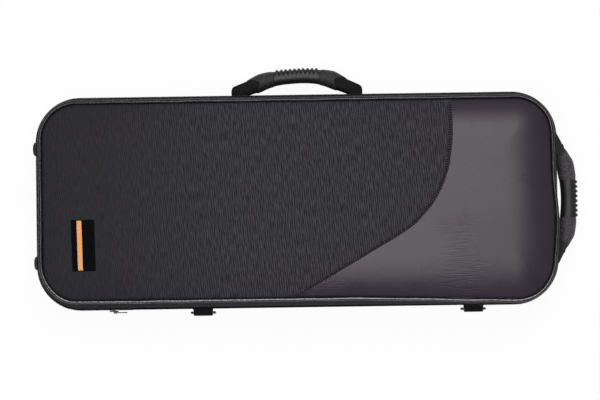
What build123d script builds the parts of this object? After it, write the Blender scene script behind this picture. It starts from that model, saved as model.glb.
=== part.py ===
from build123d import *
import os
from math import atan2, cos, degrees, radians, sin, tan

# Alto saxophone case, lying on its back with the lid up. Millimetres. The origin is the centre of the flat back,
# +X runs towards the end handle, +Y towards the top handle and +Z towards the lid's face.

os.makedirs("parts", exist_ok=True)

# Driving dimensions of the whole case
LENGTH = 660.0  # over the zip, which is the widest line of the case
WIDTH = 270.0
CORNER = 57.0  # plan radius of the corners, on the zip line
BASE_DEPTH = 95.0  # back face to the split between base and lid
LID_DEPTH = 70.0  # split to the front face
FACE_INSET = 8.3  # how far the front face lies inside the zip line
BACK_INSET = 10.0

# Skins and shells
COVER = 1.6  # woven cover with its thin foam backing
SHELL = 7.0  # moulded shell
PANEL = 2.0  # front and back panels
PIPE_R = 2.3  # piping cord round the front and back edges
TAPE = 0.7  # zip tape
ZIP_PROUD = 1.5  # how far the zip teeth stand out from the covers
RIM_GAP = 0.3  # between the two rims when the case is shut
SHELL_CHAMFER = 3.5  # leaves room for the piping cord

# Zip and hinge on the long wall at -Y
ZIP_TAPE_REACH = 12.0  # each side of the split
ZIP_TOOTH_REACH = 2.8
ZIP_END_X = 226.0  # the teeth stop here, and the fabric hinge lies between
HINGE_HALF = 210.0
HINGE_TAPE = 0.9
HINGE_Y = -(WIDTH / 2 + 0.2)  # the lid turns about this line, just outside the teeth
SCALLOP_R = 7.5  # the lid's edge is relieved round the slider by this radius about the hinge line
SCALLOP_X = (-290.0, -212.0)

# Inside
CRADLE_TOP = BASE_DEPTH - 2.5
LINER = 5.0
PRESSURE_PAD = 14.0

# Worked out from the driving dimensions
COVER_LENGTH = LENGTH - 2 * ZIP_PROUD
COVER_WIDTH = WIDTH - 2 * ZIP_PROUD
COVER_CORNER = CORNER - ZIP_PROUD
SPLIT = BASE_DEPTH
TOP = BASE_DEPTH + LID_DEPTH
PIPE_DROP = 2 * PIPE_R + 0.1  # the wall covers stop this far from the front and back faces
# The covers end 1 mm inside the outermost line of the piping.
BASE_LEAN = degrees(atan2(BACK_INSET - ZIP_PROUD + 1.0, BASE_DEPTH - PIPE_DROP))
LID_LEAN = degrees(atan2(FACE_INSET - ZIP_PROUD + 1.0, LID_DEPTH - PIPE_DROP))
BACK_PIPE_IN = BACK_INSET + PIPE_R  # piping centre line, inside the zip line
FRONT_PIPE_IN = FACE_INSET + PIPE_R
PANEL_GAP = PIPE_R + 0.1  # panel edge to piping centre line


def inset_at(z):
    """How far the covers have leant in at height z: nothing at the split."""
    lean = BASE_LEAN if z < SPLIT else LID_LEAN
    return abs(z - SPLIT) * tan(radians(lean))


def leaning_block(grow, z_from, z_to, mode=Mode.ADD):
    """Adds or cuts a block with the case's plan outline grown by `grow`, whose walls lean as the covers do."""
    lean = BASE_LEAN if min(z_from, z_to) < SPLIT else LID_LEAN
    side = grow - inset_at(z_from)
    away_from_split = 1 if abs(z_to - SPLIT) > abs(z_from - SPLIT) else -1
    up = 1 if z_to > z_from else -1
    with BuildSketch(Plane((0, 0, z_from), z_dir=(0, 0, up)), mode=Mode.PRIVATE) as outline:
        RectangleRounded(COVER_LENGTH + 2 * side, COVER_WIDTH + 2 * side, COVER_CORNER + side)
    extrude(outline.sketch, amount=abs(z_to - z_from), taper=away_from_split * lean, mode=mode)


def save(builder, name):
    """Labels a finished piece and writes it as its own file."""
    builder.part.label = name
    export_step(builder.part, f"parts/{name}.step")


def wall_height(z):
    """Half width of the base cover at height z, on the walls at +Y and -Y."""
    return COVER_WIDTH / 2 - inset_at(z)


def wall_reach(z):
    """Half length of the base cover at height z, on the walls at +X and -X."""
    return COVER_LENGTH / 2 - inset_at(z)


LEAN_COS = cos(radians(BASE_LEAN))
LEAN_SIN = sin(radians(BASE_LEAN))


def wall_frame(direction, along, z):
    """Plane standing square to a base wall: its x runs along the wall, its y points out of the wall."""
    nx, ny = direction
    normal = Vector(nx * LEAN_COS, ny * LEAN_COS, -LEAN_SIN)
    run = Vector(ny, -nx, 0)
    reach = wall_height(z) if ny else wall_reach(z)
    foot = Vector(nx * reach, ny * reach, z) + run * along
    return Plane(foot, x_dir=run, z_dir=run.cross(normal))


def flat_on_wall(frame, along=0.0):
    """Plane lying on the wall of a wall frame, with its z pointing out of the wall."""
    return Plane(frame.from_local_coords(Vector(along, 0, 0)), x_dir=frame.x_dir, z_dir=frame.y_dir)


# What is fastened to the base walls
HANDLE_Z = 50.0
TOP_FRAME = wall_frame((0, 1), 2.0, HANDLE_Z)
END_FRAME = wall_frame((1, 0), 0.0, HANDLE_Z)
HANDLE_FOOT_X = 73.0  # each foot's middle, from the handle's middle
RIVET_REACH = 15.0  # above and below the hinge line
RIVET_R = 2.5
RUBBER_FOOT_Y = 73.0
RUBBER_FOOT_Z = 48.0
FOOT_SCREW_R = 2.0
LOOP_X = {"left": -122.0, "right": 224.0}
LOOP_Z = 42.0


def cut_rivet_holes():
    """Cuts the holes for the handle rivets and the foot screws through a base wall."""
    for frame in (TOP_FRAME, END_FRAME):
        for side in (-1, 1):
            with BuildSketch(flat_on_wall(frame, side * HANDLE_FOOT_X), mode=Mode.PRIVATE) as holes:
                with GridLocations(0, 2 * RIVET_REACH, 1, 2):
                    Circle(RIVET_R)
            extrude(holes.sketch, amount=-2 * SHELL, mode=Mode.SUBTRACT)
    for y in (-RUBBER_FOOT_Y, RUBBER_FOOT_Y):
        with BuildSketch(flat_on_wall(wall_frame((-1, 0), y, RUBBER_FOOT_Z)), mode=Mode.PRIVATE) as holes:
            Circle(FOOT_SCREW_R)
        extrude(holes.sketch, amount=-2 * SHELL, mode=Mode.SUBTRACT)


# Base: shell, covers and piping

with BuildPart() as base_shell:
    leaning_block(-COVER, SPLIT - RIM_GAP / 2, PANEL)
    chamfer(base_shell.faces().sort_by(Axis.Z)[0].edges(), SHELL_CHAMFER)
    leaning_block(-COVER - SHELL, SPLIT - RIM_GAP / 2, PANEL + SHELL, Mode.SUBTRACT)
    cut_rivet_holes()
save(base_shell, "base_shell")

with BuildPart() as base_wall_cover:
    leaning_block(0, SPLIT - RIM_GAP / 2, PIPE_DROP)
    leaning_block(-COVER, SPLIT - RIM_GAP / 2, PIPE_DROP, Mode.SUBTRACT)
    cut_rivet_holes()
save(base_wall_cover, "base_wall_cover")

with BuildPart() as back_panel_cover:
    with BuildSketch():
        inside = BACK_PIPE_IN + PANEL_GAP
        RectangleRounded(LENGTH - 2 * inside, WIDTH - 2 * inside, CORNER - inside)
    extrude(amount=PANEL)
save(back_panel_cover, "back_panel_cover")


def piping(inside, z):
    """Adds a round cord along the plan outline, `inside` the zip line, at height z."""
    with BuildSketch(Plane.XY.offset(z), mode=Mode.PRIVATE) as outline:
        RectangleRounded(LENGTH - 2 * inside, WIDTH - 2 * inside, CORNER - inside)
    with BuildSketch(Plane((0, inside - WIDTH / 2, z), z_dir=(1, 0, 0)), mode=Mode.PRIVATE) as section:
        RegularPolygon(PIPE_R, 12)
    sweep(section.sketch, path=outline.sketch.faces()[0].outer_wire())


with BuildPart() as back_piping:
    piping(BACK_PIPE_IN, PIPE_R)
save(back_piping, "back_piping")

# Zip and hinge, base side

HINGE_WALL_Y = -COVER_WIDTH / 2


def cut_hinge_stretch(half, z):
    """Removes what lies on the hinge wall between plus and minus `half`."""
    with Locations((0, HINGE_WALL_Y, z)):
        Box(2 * half, 60, 60, mode=Mode.SUBTRACT)


def keep_hinge_stretch(x_low, x_high):
    """Keeps only what lies on the hinge wall from x_low to x_high."""
    with Locations(((x_low + x_high) / 2, HINGE_WALL_Y, SPLIT)):
        Box(x_high - x_low, 60, 60, mode=Mode.INTERSECT)


with BuildPart() as zipper_tape_base:
    leaning_block(TAPE, SPLIT - RIM_GAP / 2, SPLIT - ZIP_TAPE_REACH)
    leaning_block(0, SPLIT - RIM_GAP / 2, SPLIT - ZIP_TAPE_REACH, Mode.SUBTRACT)
    cut_hinge_stretch(ZIP_END_X, SPLIT)
save(zipper_tape_base, "zipper_tape_base")

with BuildPart() as zipper_teeth_base:
    leaning_block(ZIP_PROUD, SPLIT - RIM_GAP / 2, SPLIT - ZIP_TOOTH_REACH)
    leaning_block(TAPE, SPLIT - RIM_GAP / 2, SPLIT - ZIP_TOOTH_REACH, Mode.SUBTRACT)
    cut_hinge_stretch(ZIP_END_X, SPLIT)
save(zipper_teeth_base, "zipper_teeth_base")

with BuildPart() as hinge_tape_base:
    leaning_block(HINGE_TAPE, SPLIT - RIM_GAP / 2, SPLIT - ZIP_TAPE_REACH)
    leaning_block(0, SPLIT - RIM_GAP / 2, SPLIT - ZIP_TAPE_REACH, Mode.SUBTRACT)
    keep_hinge_stretch(-HINGE_HALF, HINGE_HALF)
save(hinge_tape_base, "hinge_tape_base")

with BuildPart() as zipper_end_tabs:
    leaning_block(ZIP_PROUD - 0.1, SPLIT - RIM_GAP / 2, SPLIT - ZIP_TAPE_REACH)
    leaning_block(0, SPLIT - RIM_GAP / 2, SPLIT - ZIP_TAPE_REACH, Mode.SUBTRACT)
    keep_hinge_stretch(-ZIP_END_X, ZIP_END_X)
    cut_hinge_stretch(HINGE_HALF, SPLIT)
save(zipper_end_tabs, "zipper_end_tabs")

# Foam cradle with its plush cover. The instrument lies on its side, half sunk: the straight body tapers towards the
# right end, the bow turns at the left end, and the bell points back along the handle wall.
BODY_Y = -50.0
BELL_Y = 50.0
BOW_X = -195.0
BODY_END_X = 285.0
BELL_END_X = 60.0
BORE_Z = 84.0  # height of the instrument's own middle plane
BODY_R = (24.0, 42.0)  # at the neck end and at the bow
BELL_R = (42.0, 47.0, 64.0)  # at the bow, half way and at the rim
KEY_FLOOR_Z = 56.0  # shelf under the keys, beside the body
KEY_WIDTH = (78.0, 108.0)
POCKET_FLOOR_Z = 48.0
NECK_R = 17.0

with BuildPart() as cradle_foam:
    leaning_block(-COVER - SHELL, CRADLE_TOP, PANEL + SHELL)
    # Shelf for the keys along the body
    with BuildSketch(Plane.XY.offset(CRADLE_TOP)):
        with BuildLine():
            Polyline(
                (BOW_X, BODY_Y - KEY_WIDTH[1] / 2),
                (BODY_END_X, BODY_Y - KEY_WIDTH[0] / 2),
                (BODY_END_X, BODY_Y + KEY_WIDTH[0] / 2),
                (BOW_X, BODY_Y + KEY_WIDTH[1] / 2),
                close=True,
            )
        make_face()
        fillet(vertices(), 16)
    extrude(amount=KEY_FLOOR_Z - CRADLE_TOP, mode=Mode.SUBTRACT)
    # Straight body, a long cone
    with BuildSketch(Plane((0, BODY_Y, BORE_Z), x_dir=(1, 0, 0), z_dir=(0, 0, 1))):
        with BuildLine():
            Polyline(
                (BOW_X, 0),
                (BOW_X, BODY_R[1]),
                (BODY_END_X, BODY_R[0]),
                (BODY_END_X, 0),
                close=True,
            )
        make_face()
    revolve(axis=Axis((0, BODY_Y, BORE_Z), (1, 0, 0)), mode=Mode.SUBTRACT)
    # Bell, flaring towards its rim
    with BuildSketch(Plane((0, BELL_Y, BORE_Z), x_dir=(1, 0, 0), z_dir=(0, 0, 1))):
        with BuildLine():
            flare = Spline(
                (BOW_X, BELL_R[0]),
                ((BOW_X + BELL_END_X) / 2, BELL_R[1]),
                (BELL_END_X, BELL_R[2]),
                tangents=[(1, 0.02), (1, 0.45)],
            )
            Polyline(flare @ 1, (BELL_END_X, 0), (BOW_X, 0), flare @ 0)
        make_face()
    revolve(axis=Axis((0, BELL_Y, BORE_Z), (1, 0, 0)), mode=Mode.SUBTRACT)
    # Bow, half a ring joining the two
    with BuildSketch(Plane((BOW_X, BODY_Y, BORE_Z), x_dir=(0, 1, 0), z_dir=(1, 0, 0))):
        Circle(BODY_R[1])
    revolve(
        axis=Axis((BOW_X, (BODY_Y + BELL_Y) / 2, BORE_Z), (0, 0, 1)),
        revolution_arc=-180,
        mode=Mode.SUBTRACT,
    )
    # Pockets for the curved neck, the mouthpiece and the accessories
    with BuildSketch(Plane.XY.offset(CRADLE_TOP)):
        with BuildLine():
            neck_line = ThreePointArc((100, 84), (190, 98), (280, 62))
        trace(neck_line, line_width=2 * NECK_R)
        with Locations(neck_line @ 0, neck_line @ 1):
            Circle(NECK_R)
    extrude(amount=POCKET_FLOOR_Z - CRADLE_TOP, mode=Mode.SUBTRACT)
    with BuildSketch(Plane.XY.offset(CRADLE_TOP)):
        with Locations((128, 36)):
            RectangleRounded(92, 38, 12)
        with Locations((226, 27)):
            RectangleRounded(84, 44, 12)
    extrude(amount=POCKET_FLOOR_Z - CRADLE_TOP, mode=Mode.SUBTRACT)
save(cradle_foam, "cradle_foam")

with BuildPart() as retaining_strap:
    with BuildSketch(Plane.XY.offset(CRADLE_TOP)):
        with Locations((0, BODY_Y)):
            RectangleRounded(38, 132, 6)
    extrude(amount=1.6)
save(retaining_strap, "retaining_strap")


# Lid: shell, covers, panels, piping and liner

def relieve_for_slider():
    """Rounds the lid's edge away from the slider, about the hinge line, so that nothing meets as the lid turns."""
    with BuildSketch(Plane((SCALLOP_X[0], HINGE_Y, SPLIT), z_dir=(1, 0, 0)), mode=Mode.PRIVATE) as circle:
        Circle(SCALLOP_R)
    extrude(circle.sketch, amount=SCALLOP_X[1] - SCALLOP_X[0], mode=Mode.SUBTRACT)


with BuildPart() as lid_shell:
    leaning_block(-COVER, SPLIT + RIM_GAP / 2, TOP - 3.0)
    chamfer(lid_shell.faces().sort_by(Axis.Z)[-1].edges(), SHELL_CHAMFER)
    leaning_block(-COVER - SHELL, SPLIT + RIM_GAP / 2, TOP - 3.0 - SHELL, Mode.SUBTRACT)
    relieve_for_slider()
save(lid_shell, "lid_shell")

with BuildPart() as lid_wall_cover:
    leaning_block(0, SPLIT + RIM_GAP / 2, TOP - PIPE_DROP)
    leaning_block(-COVER, SPLIT + RIM_GAP / 2, TOP - PIPE_DROP, Mode.SUBTRACT)
    relieve_for_slider()
save(lid_wall_cover, "lid_wall_cover")

with BuildPart() as front_piping:
    piping(FRONT_PIPE_IN, TOP - PIPE_R)
save(front_piping, "front_piping")

PANEL_Z = TOP - 3.0
SEAM = (
    (195.0, 130.0),
    (196.0, 73.0),
    (182.0, 12.0),
    (146.0, -33.0),
    (98.0, -61.0),
    (-2.0, -121.0),
)


def front_outline():
    inside = FRONT_PIPE_IN + PANEL_GAP
    RectangleRounded(LENGTH - 2 * inside, WIDTH - 2 * inside, CORNER - inside)


def accent_region(mode):
    """The side of the seam that the smooth panel covers, towards the right end."""
    with BuildLine(mode=Mode.PRIVATE) as border:
        seam = Spline(*SEAM, tangents=[(0.05, -1), (-1, -0.6)])
        Polyline(seam @ 1, (-2, -WIDTH), (LENGTH, -WIDTH), (LENGTH, WIDTH), (195, WIDTH), seam @ 0)
    make_face(border.line, mode=mode)


with BuildPart() as front_accent_panel:
    with BuildSketch(Plane.XY.offset(PANEL_Z)):
        front_outline()
        accent_region(Mode.INTERSECT)
    extrude(amount=PANEL)
save(front_accent_panel, "front_accent_panel")

with BuildPart() as front_fabric_panel:
    with BuildSketch(Plane.XY.offset(PANEL_Z)):
        front_outline()
        accent_region(Mode.SUBTRACT)
    extrude(amount=PANEL)
save(front_fabric_panel, "front_fabric_panel")

LABEL_AT = (-266.0, -54.0)
LABEL = (29.0, 64.0)
STRIPE_WIDTH = 7.5
STRIPE_X = -4.4

with BuildPart() as label_patch:
    with BuildSketch(Plane.XY.offset(PANEL_Z + PANEL)):
        with Locations(LABEL_AT):
            RectangleRounded(*LABEL, 1.0)
    extrude(amount=0.8)
save(label_patch, "label_patch")

with BuildPart() as label_stripe:
    with BuildSketch(Plane.XY.offset(PANEL_Z + PANEL + 0.8)):
        with Locations((LABEL_AT[0] + STRIPE_X, LABEL_AT[1])):
            Rectangle(STRIPE_WIDTH, LABEL[1] - 1)
    extrude(amount=0.2)
save(label_stripe, "label_stripe")

with BuildPart() as zipper_tape_lid:
    leaning_block(TAPE, SPLIT + RIM_GAP / 2, SPLIT + ZIP_TAPE_REACH)
    leaning_block(0, SPLIT + RIM_GAP / 2, SPLIT + ZIP_TAPE_REACH, Mode.SUBTRACT)
    cut_hinge_stretch(ZIP_END_X, SPLIT)
    relieve_for_slider()
save(zipper_tape_lid, "zipper_tape_lid")

with BuildPart() as zipper_teeth_lid:
    leaning_block(ZIP_PROUD, SPLIT + RIM_GAP / 2, SPLIT + ZIP_TOOTH_REACH)
    leaning_block(TAPE, SPLIT + RIM_GAP / 2, SPLIT + ZIP_TOOTH_REACH, Mode.SUBTRACT)
    cut_hinge_stretch(ZIP_END_X, SPLIT)
    relieve_for_slider()
save(zipper_teeth_lid, "zipper_teeth_lid")

with BuildPart() as hinge_tape_lid:
    leaning_block(HINGE_TAPE, SPLIT + RIM_GAP / 2, SPLIT + ZIP_TAPE_REACH)
    leaning_block(0, SPLIT + RIM_GAP / 2, SPLIT + ZIP_TAPE_REACH, Mode.SUBTRACT)
    keep_hinge_stretch(-HINGE_HALF, HINGE_HALF)
save(hinge_tape_lid, "hinge_tape_lid")

LID_INNER_Z = TOP - 3.0 - SHELL
LINER_Z = LID_INNER_Z - LINER

with BuildPart() as lid_liner:
    leaning_block(-COVER - SHELL, SPLIT + RIM_GAP / 2, LID_INNER_Z)
    leaning_block(-COVER - SHELL - LINER, SPLIT + RIM_GAP / 2, LINER_Z, Mode.SUBTRACT)
save(lid_liner, "lid_liner")

with BuildPart() as lid_pressure_pad:
    with BuildSketch(Plane.XY.offset(LINER_Z)):
        with Locations((10, BODY_Y)):
            RectangleRounded(360, 84, 30)
    extrude(amount=-PRESSURE_PAD)
    fillet(lid_pressure_pad.faces().sort_by(Axis.Z)[0].edges(), 9)
save(lid_pressure_pad, "lid_pressure_pad")

# Zip slider, parked at the end of the zip on the hinge wall, and its pull

SLIDER_X = -233.0
SLIDER_LENGTH = 11.0
SLIDER_WIDTH = 12.0
SLIDER_PLATE = 1.3
BRIDGE_R = 2.6
BRIDGE_EYE_R = 1.0
SLIDER_Y = -WIDTH / 2 - 0.4  # inner face of the slider's plate, clear of the teeth
LIP = 1.0
PULL_X = SLIDER_X + 1.5
PULL_Y = SLIDER_Y - SLIDER_PLATE - BRIDGE_EYE_R

with BuildPart() as zip_slider:
    # Shield-shaped plate: broad where the two chains enter, narrow where they leave joined
    with BuildSketch(Plane((SLIDER_X, SLIDER_Y, SPLIT), x_dir=(1, 0, 0), z_dir=(0, -1, 0))):
        with BuildLine():
            Polyline(
                (SLIDER_LENGTH / 2, 3.6),
                (0.5, SLIDER_WIDTH / 2),
                (-SLIDER_LENGTH / 2, SLIDER_WIDTH / 2),
                (-SLIDER_LENGTH / 2, -SLIDER_WIDTH / 2),
                (0.5, -SLIDER_WIDTH / 2),
                (SLIDER_LENGTH / 2, -3.6),
                close=True,
            )
        make_face()
        fillet(vertices(), 1.4)
    extrude(amount=SLIDER_PLATE)
    # Lips that wrap the chain
    for side in (-1, 1):
        with Locations((SLIDER_X - 1.5, SLIDER_Y + LIP / 2, SPLIT + side * (SLIDER_WIDTH / 2 - 1.6))):
            Box(SLIDER_LENGTH - 4, LIP, 1.2)
    # Bridge that holds the pull
    with BuildSketch(Plane((PULL_X, SLIDER_Y - SLIDER_PLATE, SPLIT), z_dir=(0, 0, 1))):
        Circle(BRIDGE_R)
        with Locations((0, BRIDGE_R)):
            Rectangle(4 * BRIDGE_R, 2 * BRIDGE_R, mode=Mode.SUBTRACT)
    extrude(amount=1.4, both=True)
    with Locations((PULL_X, PULL_Y, SPLIT)):
        Cylinder(BRIDGE_EYE_R, 4, mode=Mode.SUBTRACT)
save(zip_slider, "zip_slider")

PULL_PIN_R = 0.7
PULL_THICK = 1.3

with BuildPart() as zip_pull:
    with Locations((PULL_X, PULL_Y, SPLIT)):
        Cylinder(PULL_PIN_R, 5.6)
    for side in (-1, 1):
        with Locations((PULL_X + 2.6, PULL_Y, SPLIT + side * 2.3)):
            Box(6.8, PULL_THICK, 1.0)
    with BuildSketch(Plane((PULL_X, PULL_Y + PULL_THICK / 2, SPLIT), x_dir=(1, 0, 0), z_dir=(0, -1, 0))):
        with Locations((10, 0)):
            RectangleRounded(10, 6.4, 1.6)
        with Locations((12, 0)):
            Circle(1.3, mode=Mode.SUBTRACT)
    extrude(amount=PULL_THICK)
save(zip_pull, "zip_pull")

# Carrying handles: a webbing core from foot to foot, a ribbed grip in the middle, a flared pad and a collar each side,
# and woven sleeves down to the feet, which turn on the barrels of two anchor plates.

GRIP_R = 9.2
GRIP_HALF = 30.0  # stations along a handle, from its middle
PAD_MID = 42.0
PAD_SWELL = (1.8, 12.0)  # over the sleeve outwards, and the half width across
COLLAR_FROM = 50.5
COLLAR_TO = 53.5
CORE_END = 70.0
RIB_PITCH = 5.5
RIB_ROOT = 6.0  # ribs start this far from the centre line, inside the grip
RIB_SWEEP = 72.0  # degrees to each side of the grip's outer line
RIB_PROUD = 2.0
RIB_HALF = (1.7, 0.9)  # half thickness at the root and at the crest
CORE = (14.0, 3.0)  # webbing width and thickness
SLEEVE = 23.0  # across
COLLAR_OVER = (1.4, 2.4)  # how much wider and thicker than the sleeve a collar is
COLLAR_CORNER = 8.0
BARREL_R = 3.8
BARREL_GAP = 0.3
BARREL_LENGTH = 20.0
BARREL_NECK = 3.0
PIVOT_HEIGHT = 5.5  # hinge line above the wall
ANCHOR_PLATE = (22.0, 40.0, 1.2)  # along, across and thick
RIVET_HEAD = (4.0, 0.8)  # radius and height
RIVET_LENGTH = 8.5
FOOT_ENDS = (62.0, 84.0)  # along the wall
FUNNEL = (4.9, 11.6, 12.4)  # half width at the barrel, at the leg, and the height between them


class Handle:
    """Side shape of a handle: a wide bend of radius `bend` over the wall, then straight legs that fall at `slope`."""

    def __init__(self, frame, apex, bend, slope, leg_thick, leg_inner, shoulder, heel, ribs):
        self.frame = frame
        self.leg_thick = leg_thick  # outwards, where the sleeve leaves the collar
        self.apex = apex
        self.bend = bend
        self.turn = radians(slope)
        self.leg_inner = leg_inner  # height of the leg's underside where the foot starts
        self.shoulder = shoulder  # point of the leg's outer line above the foot
        self.heel = heel  # height at which the foot's end wall starts to round over
        self.ribs = ribs

    def station(self, along):
        """Plane square to the centre line, `along` it from the middle. Its x points outwards from the wall."""
        side = 1 if along >= 0 else -1
        angle = min(abs(along) / self.bend, self.turn)
        past = abs(along) - self.bend * angle
        x = self.bend * sin(angle) + past * cos(angle)
        y = self.apex - self.bend * (1 - cos(angle)) - past * sin(angle)
        tangent = self.frame.x_dir * cos(angle) - self.frame.y_dir * (side * sin(angle))
        outward = self.frame.x_dir * (side * sin(angle)) + self.frame.y_dir * cos(angle)
        return Plane(self.frame.from_local_coords(Vector(side * x, y, 0)), x_dir=outward, z_dir=tangent)

    def centre_axis(self):
        centre = self.frame.from_local_coords(Vector(0, self.apex - self.bend, 0))
        return Axis(centre, self.frame.z_dir)


def side_profile(frame, points):
    """Polygon in a handle's side plane."""
    with BuildSketch(frame, mode=Mode.PRIVATE) as profile:
        with BuildLine():
            Polyline(*points, close=True)
        make_face()
    return profile.sketch


def core_band(handle):
    """Side view of the webbing: the centre line with the webbing's thickness."""
    with BuildSketch(handle.frame, mode=Mode.PRIVATE) as band:
        with BuildLine():
            ends = []
            for thick in (-CORE[1] / 2, CORE[1] / 2):
                places = []
                for along in (-CORE_END, -handle.bend * handle.turn, 0, handle.bend * handle.turn, CORE_END):
                    station = handle.station(along)
                    places.append(handle.frame.to_local_coords(station.origin + station.x_dir * thick))
                Line(places[0], places[1])
                ThreePointArc(places[1], places[2], places[3])
                Line(places[3], places[4])
                ends.append((places[0], places[4]))
            Line(ends[0][0], ends[1][0])
            Line(ends[0][1], ends[1][1])
        make_face()
    return band.sketch


def cut_core(band):
    extrude(band, amount=CORE[0] / 2, both=True, mode=Mode.SUBTRACT)


def make_grip(handle):
    """Round grip along the bend, with short ribs on its outer half."""
    reach = GRIP_HALF / handle.bend
    with BuildSketch(handle.station(-GRIP_HALF), mode=Mode.PRIVATE) as section:
        Circle(GRIP_R)
    revolve(section.sketch, axis=handle.centre_axis(), revolution_arc=-degrees(2 * reach))
    for i in range(handle.ribs):
        plane = handle.station((i - (handle.ribs - 1) / 2) * RIB_PITCH)
        side = Plane(plane.origin, x_dir=plane.z_dir, z_dir=plane.y_dir)
        # The rib's section stands on the grip's outer side and is turned about the centre line, fading to both sides
        with BuildSketch(side, mode=Mode.PRIVATE) as rib:
            with BuildLine():
                FilletPolyline(
                    (-RIB_HALF[0], RIB_ROOT),
                    (-RIB_HALF[0], GRIP_R),
                    (-RIB_HALF[1], GRIP_R + RIB_PROUD),
                    (RIB_HALF[1], GRIP_R + RIB_PROUD),
                    (RIB_HALF[0], GRIP_R),
                    (RIB_HALF[0], RIB_ROOT),
                    radius=0.5,
                )
                Line((RIB_HALF[0], RIB_ROOT), (-RIB_HALF[0], RIB_ROOT))
            make_face()
        for sweep_side in (-1, 1):
            revolve(rib.sketch, axis=Axis(plane.origin, plane.z_dir), revolution_arc=sweep_side * RIB_SWEEP)


def make_pad(handle, side):
    """Flared pad between the grip and the collar."""
    sections = []
    leg = handle.leg_thick / 2
    for along, outwards, across in (
        (GRIP_HALF, GRIP_R, GRIP_R),
        (PAD_MID, leg + PAD_SWELL[0], PAD_SWELL[1]),
        (COLLAR_FROM, leg + COLLAR_OVER[1] / 2 - 0.2, SLEEVE / 2),
    ):
        with BuildSketch(handle.station(side * along), mode=Mode.PRIVATE) as section:
            Ellipse(outwards, across)
        sections.append(section.sketch)
    loft(sections)


def make_collar(handle, side):
    with BuildSketch(handle.station(side * COLLAR_FROM), mode=Mode.PRIVATE) as section:
        RectangleRounded(handle.leg_thick + COLLAR_OVER[1], SLEEVE + COLLAR_OVER[0], COLLAR_CORNER)
    extrude(section.sketch, amount=side * (COLLAR_TO - COLLAR_FROM))


def make_sleeve(handle, side):
    """Woven sleeve from the collar to the foot, whose end is hollowed to turn on the barrel."""
    start = handle.station(COLLAR_TO)
    inner, outer = (
        handle.frame.to_local_coords(start.origin + start.x_dir * (reach * handle.leg_thick / 2))
        for reach in (-1, 1)
    )
    seat = PIVOT_HEIGHT + 1
    points = [
        (inner.X, inner.Y),
        (FOOT_ENDS[0], handle.leg_inner),
        (FOOT_ENDS[0], seat),
        (FOOT_ENDS[1], seat),
        (FOOT_ENDS[1], handle.heel),
        handle.shoulder,
        (outer.X, outer.Y),
    ]
    outline = side_profile(handle.frame, [(side * x, y) for x, y in points])
    extrude(outline, amount=SLEEVE / 2, both=True)
    # Narrows towards the barrel, so that the foot clears the wall as the handle folds either way
    place = handle.frame.from_local_coords(Vector(side * HANDLE_FOOT_X, PIVOT_HEIGHT, 0))
    across = Plane(place, x_dir=handle.frame.y_dir, z_dir=handle.frame.x_dir)
    with BuildSketch(across, mode=Mode.PRIVATE) as funnel:
        with BuildLine():
            FilletPolyline(
                (0, FUNNEL[0]),
                (FUNNEL[2], FUNNEL[1]),
                (80, FUNNEL[1]),
                (80, -FUNNEL[1]),
                (FUNNEL[2], -FUNNEL[1]),
                (0, -FUNNEL[0]),
                radius=[8, 1, 1, 8],
            )
            Line((0, -FUNNEL[0]), (0, FUNNEL[0]))
        make_face()
    extrude(funnel.sketch, amount=60, both=True, mode=Mode.INTERSECT)
    with BuildSketch(across, mode=Mode.PRIVATE) as hollow:
        Circle(BARREL_R + BARREL_GAP)
    extrude(hollow.sketch, amount=60, both=True, mode=Mode.SUBTRACT)


def make_anchor(handle, side):
    """Plate on the wall with a neck and the barrel that the handle's foot turns on."""
    with BuildSketch(flat_on_wall(handle.frame, side * HANDLE_FOOT_X), mode=Mode.PRIVATE) as plate:
        RectangleRounded(ANCHOR_PLATE[0], ANCHOR_PLATE[1], 4)
        with GridLocations(0, 2 * RIVET_REACH, 1, 2):
            Circle(RIVET_R, mode=Mode.SUBTRACT)
    extrude(plate.sketch, amount=ANCHOR_PLATE[2])
    place = handle.frame.from_local_coords(Vector(side * HANDLE_FOOT_X, 0, 0))
    across = Plane(place, x_dir=handle.frame.y_dir, z_dir=handle.frame.x_dir)
    with BuildSketch(across, mode=Mode.PRIVATE) as barrel:
        with Locations((PIVOT_HEIGHT, 0)):
            Circle(BARREL_R)
        with Locations((PIVOT_HEIGHT / 2 + 0.5, 0)):
            Rectangle(PIVOT_HEIGHT - 1, BARREL_NECK)
    extrude(barrel.sketch, amount=BARREL_LENGTH / 2, both=True)


def make_rivets(handle, side):
    """Rivets through the plate, the cover and the shell."""
    seat = flat_on_wall(handle.frame, side * HANDLE_FOOT_X).offset(ANCHOR_PLATE[2])
    with BuildSketch(seat, mode=Mode.PRIVATE) as heads:
        with GridLocations(0, 2 * RIVET_REACH, 1, 2):
            Circle(RIVET_HEAD[0])
    extrude(heads.sketch, amount=RIVET_HEAD[1])
    with BuildSketch(seat, mode=Mode.PRIVATE) as shanks:
        with GridLocations(0, 2 * RIVET_REACH, 1, 2):
            Circle(RIVET_R)
    extrude(shanks.sketch, amount=-RIVET_LENGTH - ANCHOR_PLATE[2])


HANDLES = {
    "top_handle": Handle(TOP_FRAME, 33.0, 200.0, 13.5, 19.0, 9.5, (81.5, 21.0), 16.5, 10),
    "end_handle": Handle(END_FRAME, 24.8, 250.0, 11.5, 16.0, 7.0, (80.5, 12.4), 9.6, 8),
}

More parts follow.
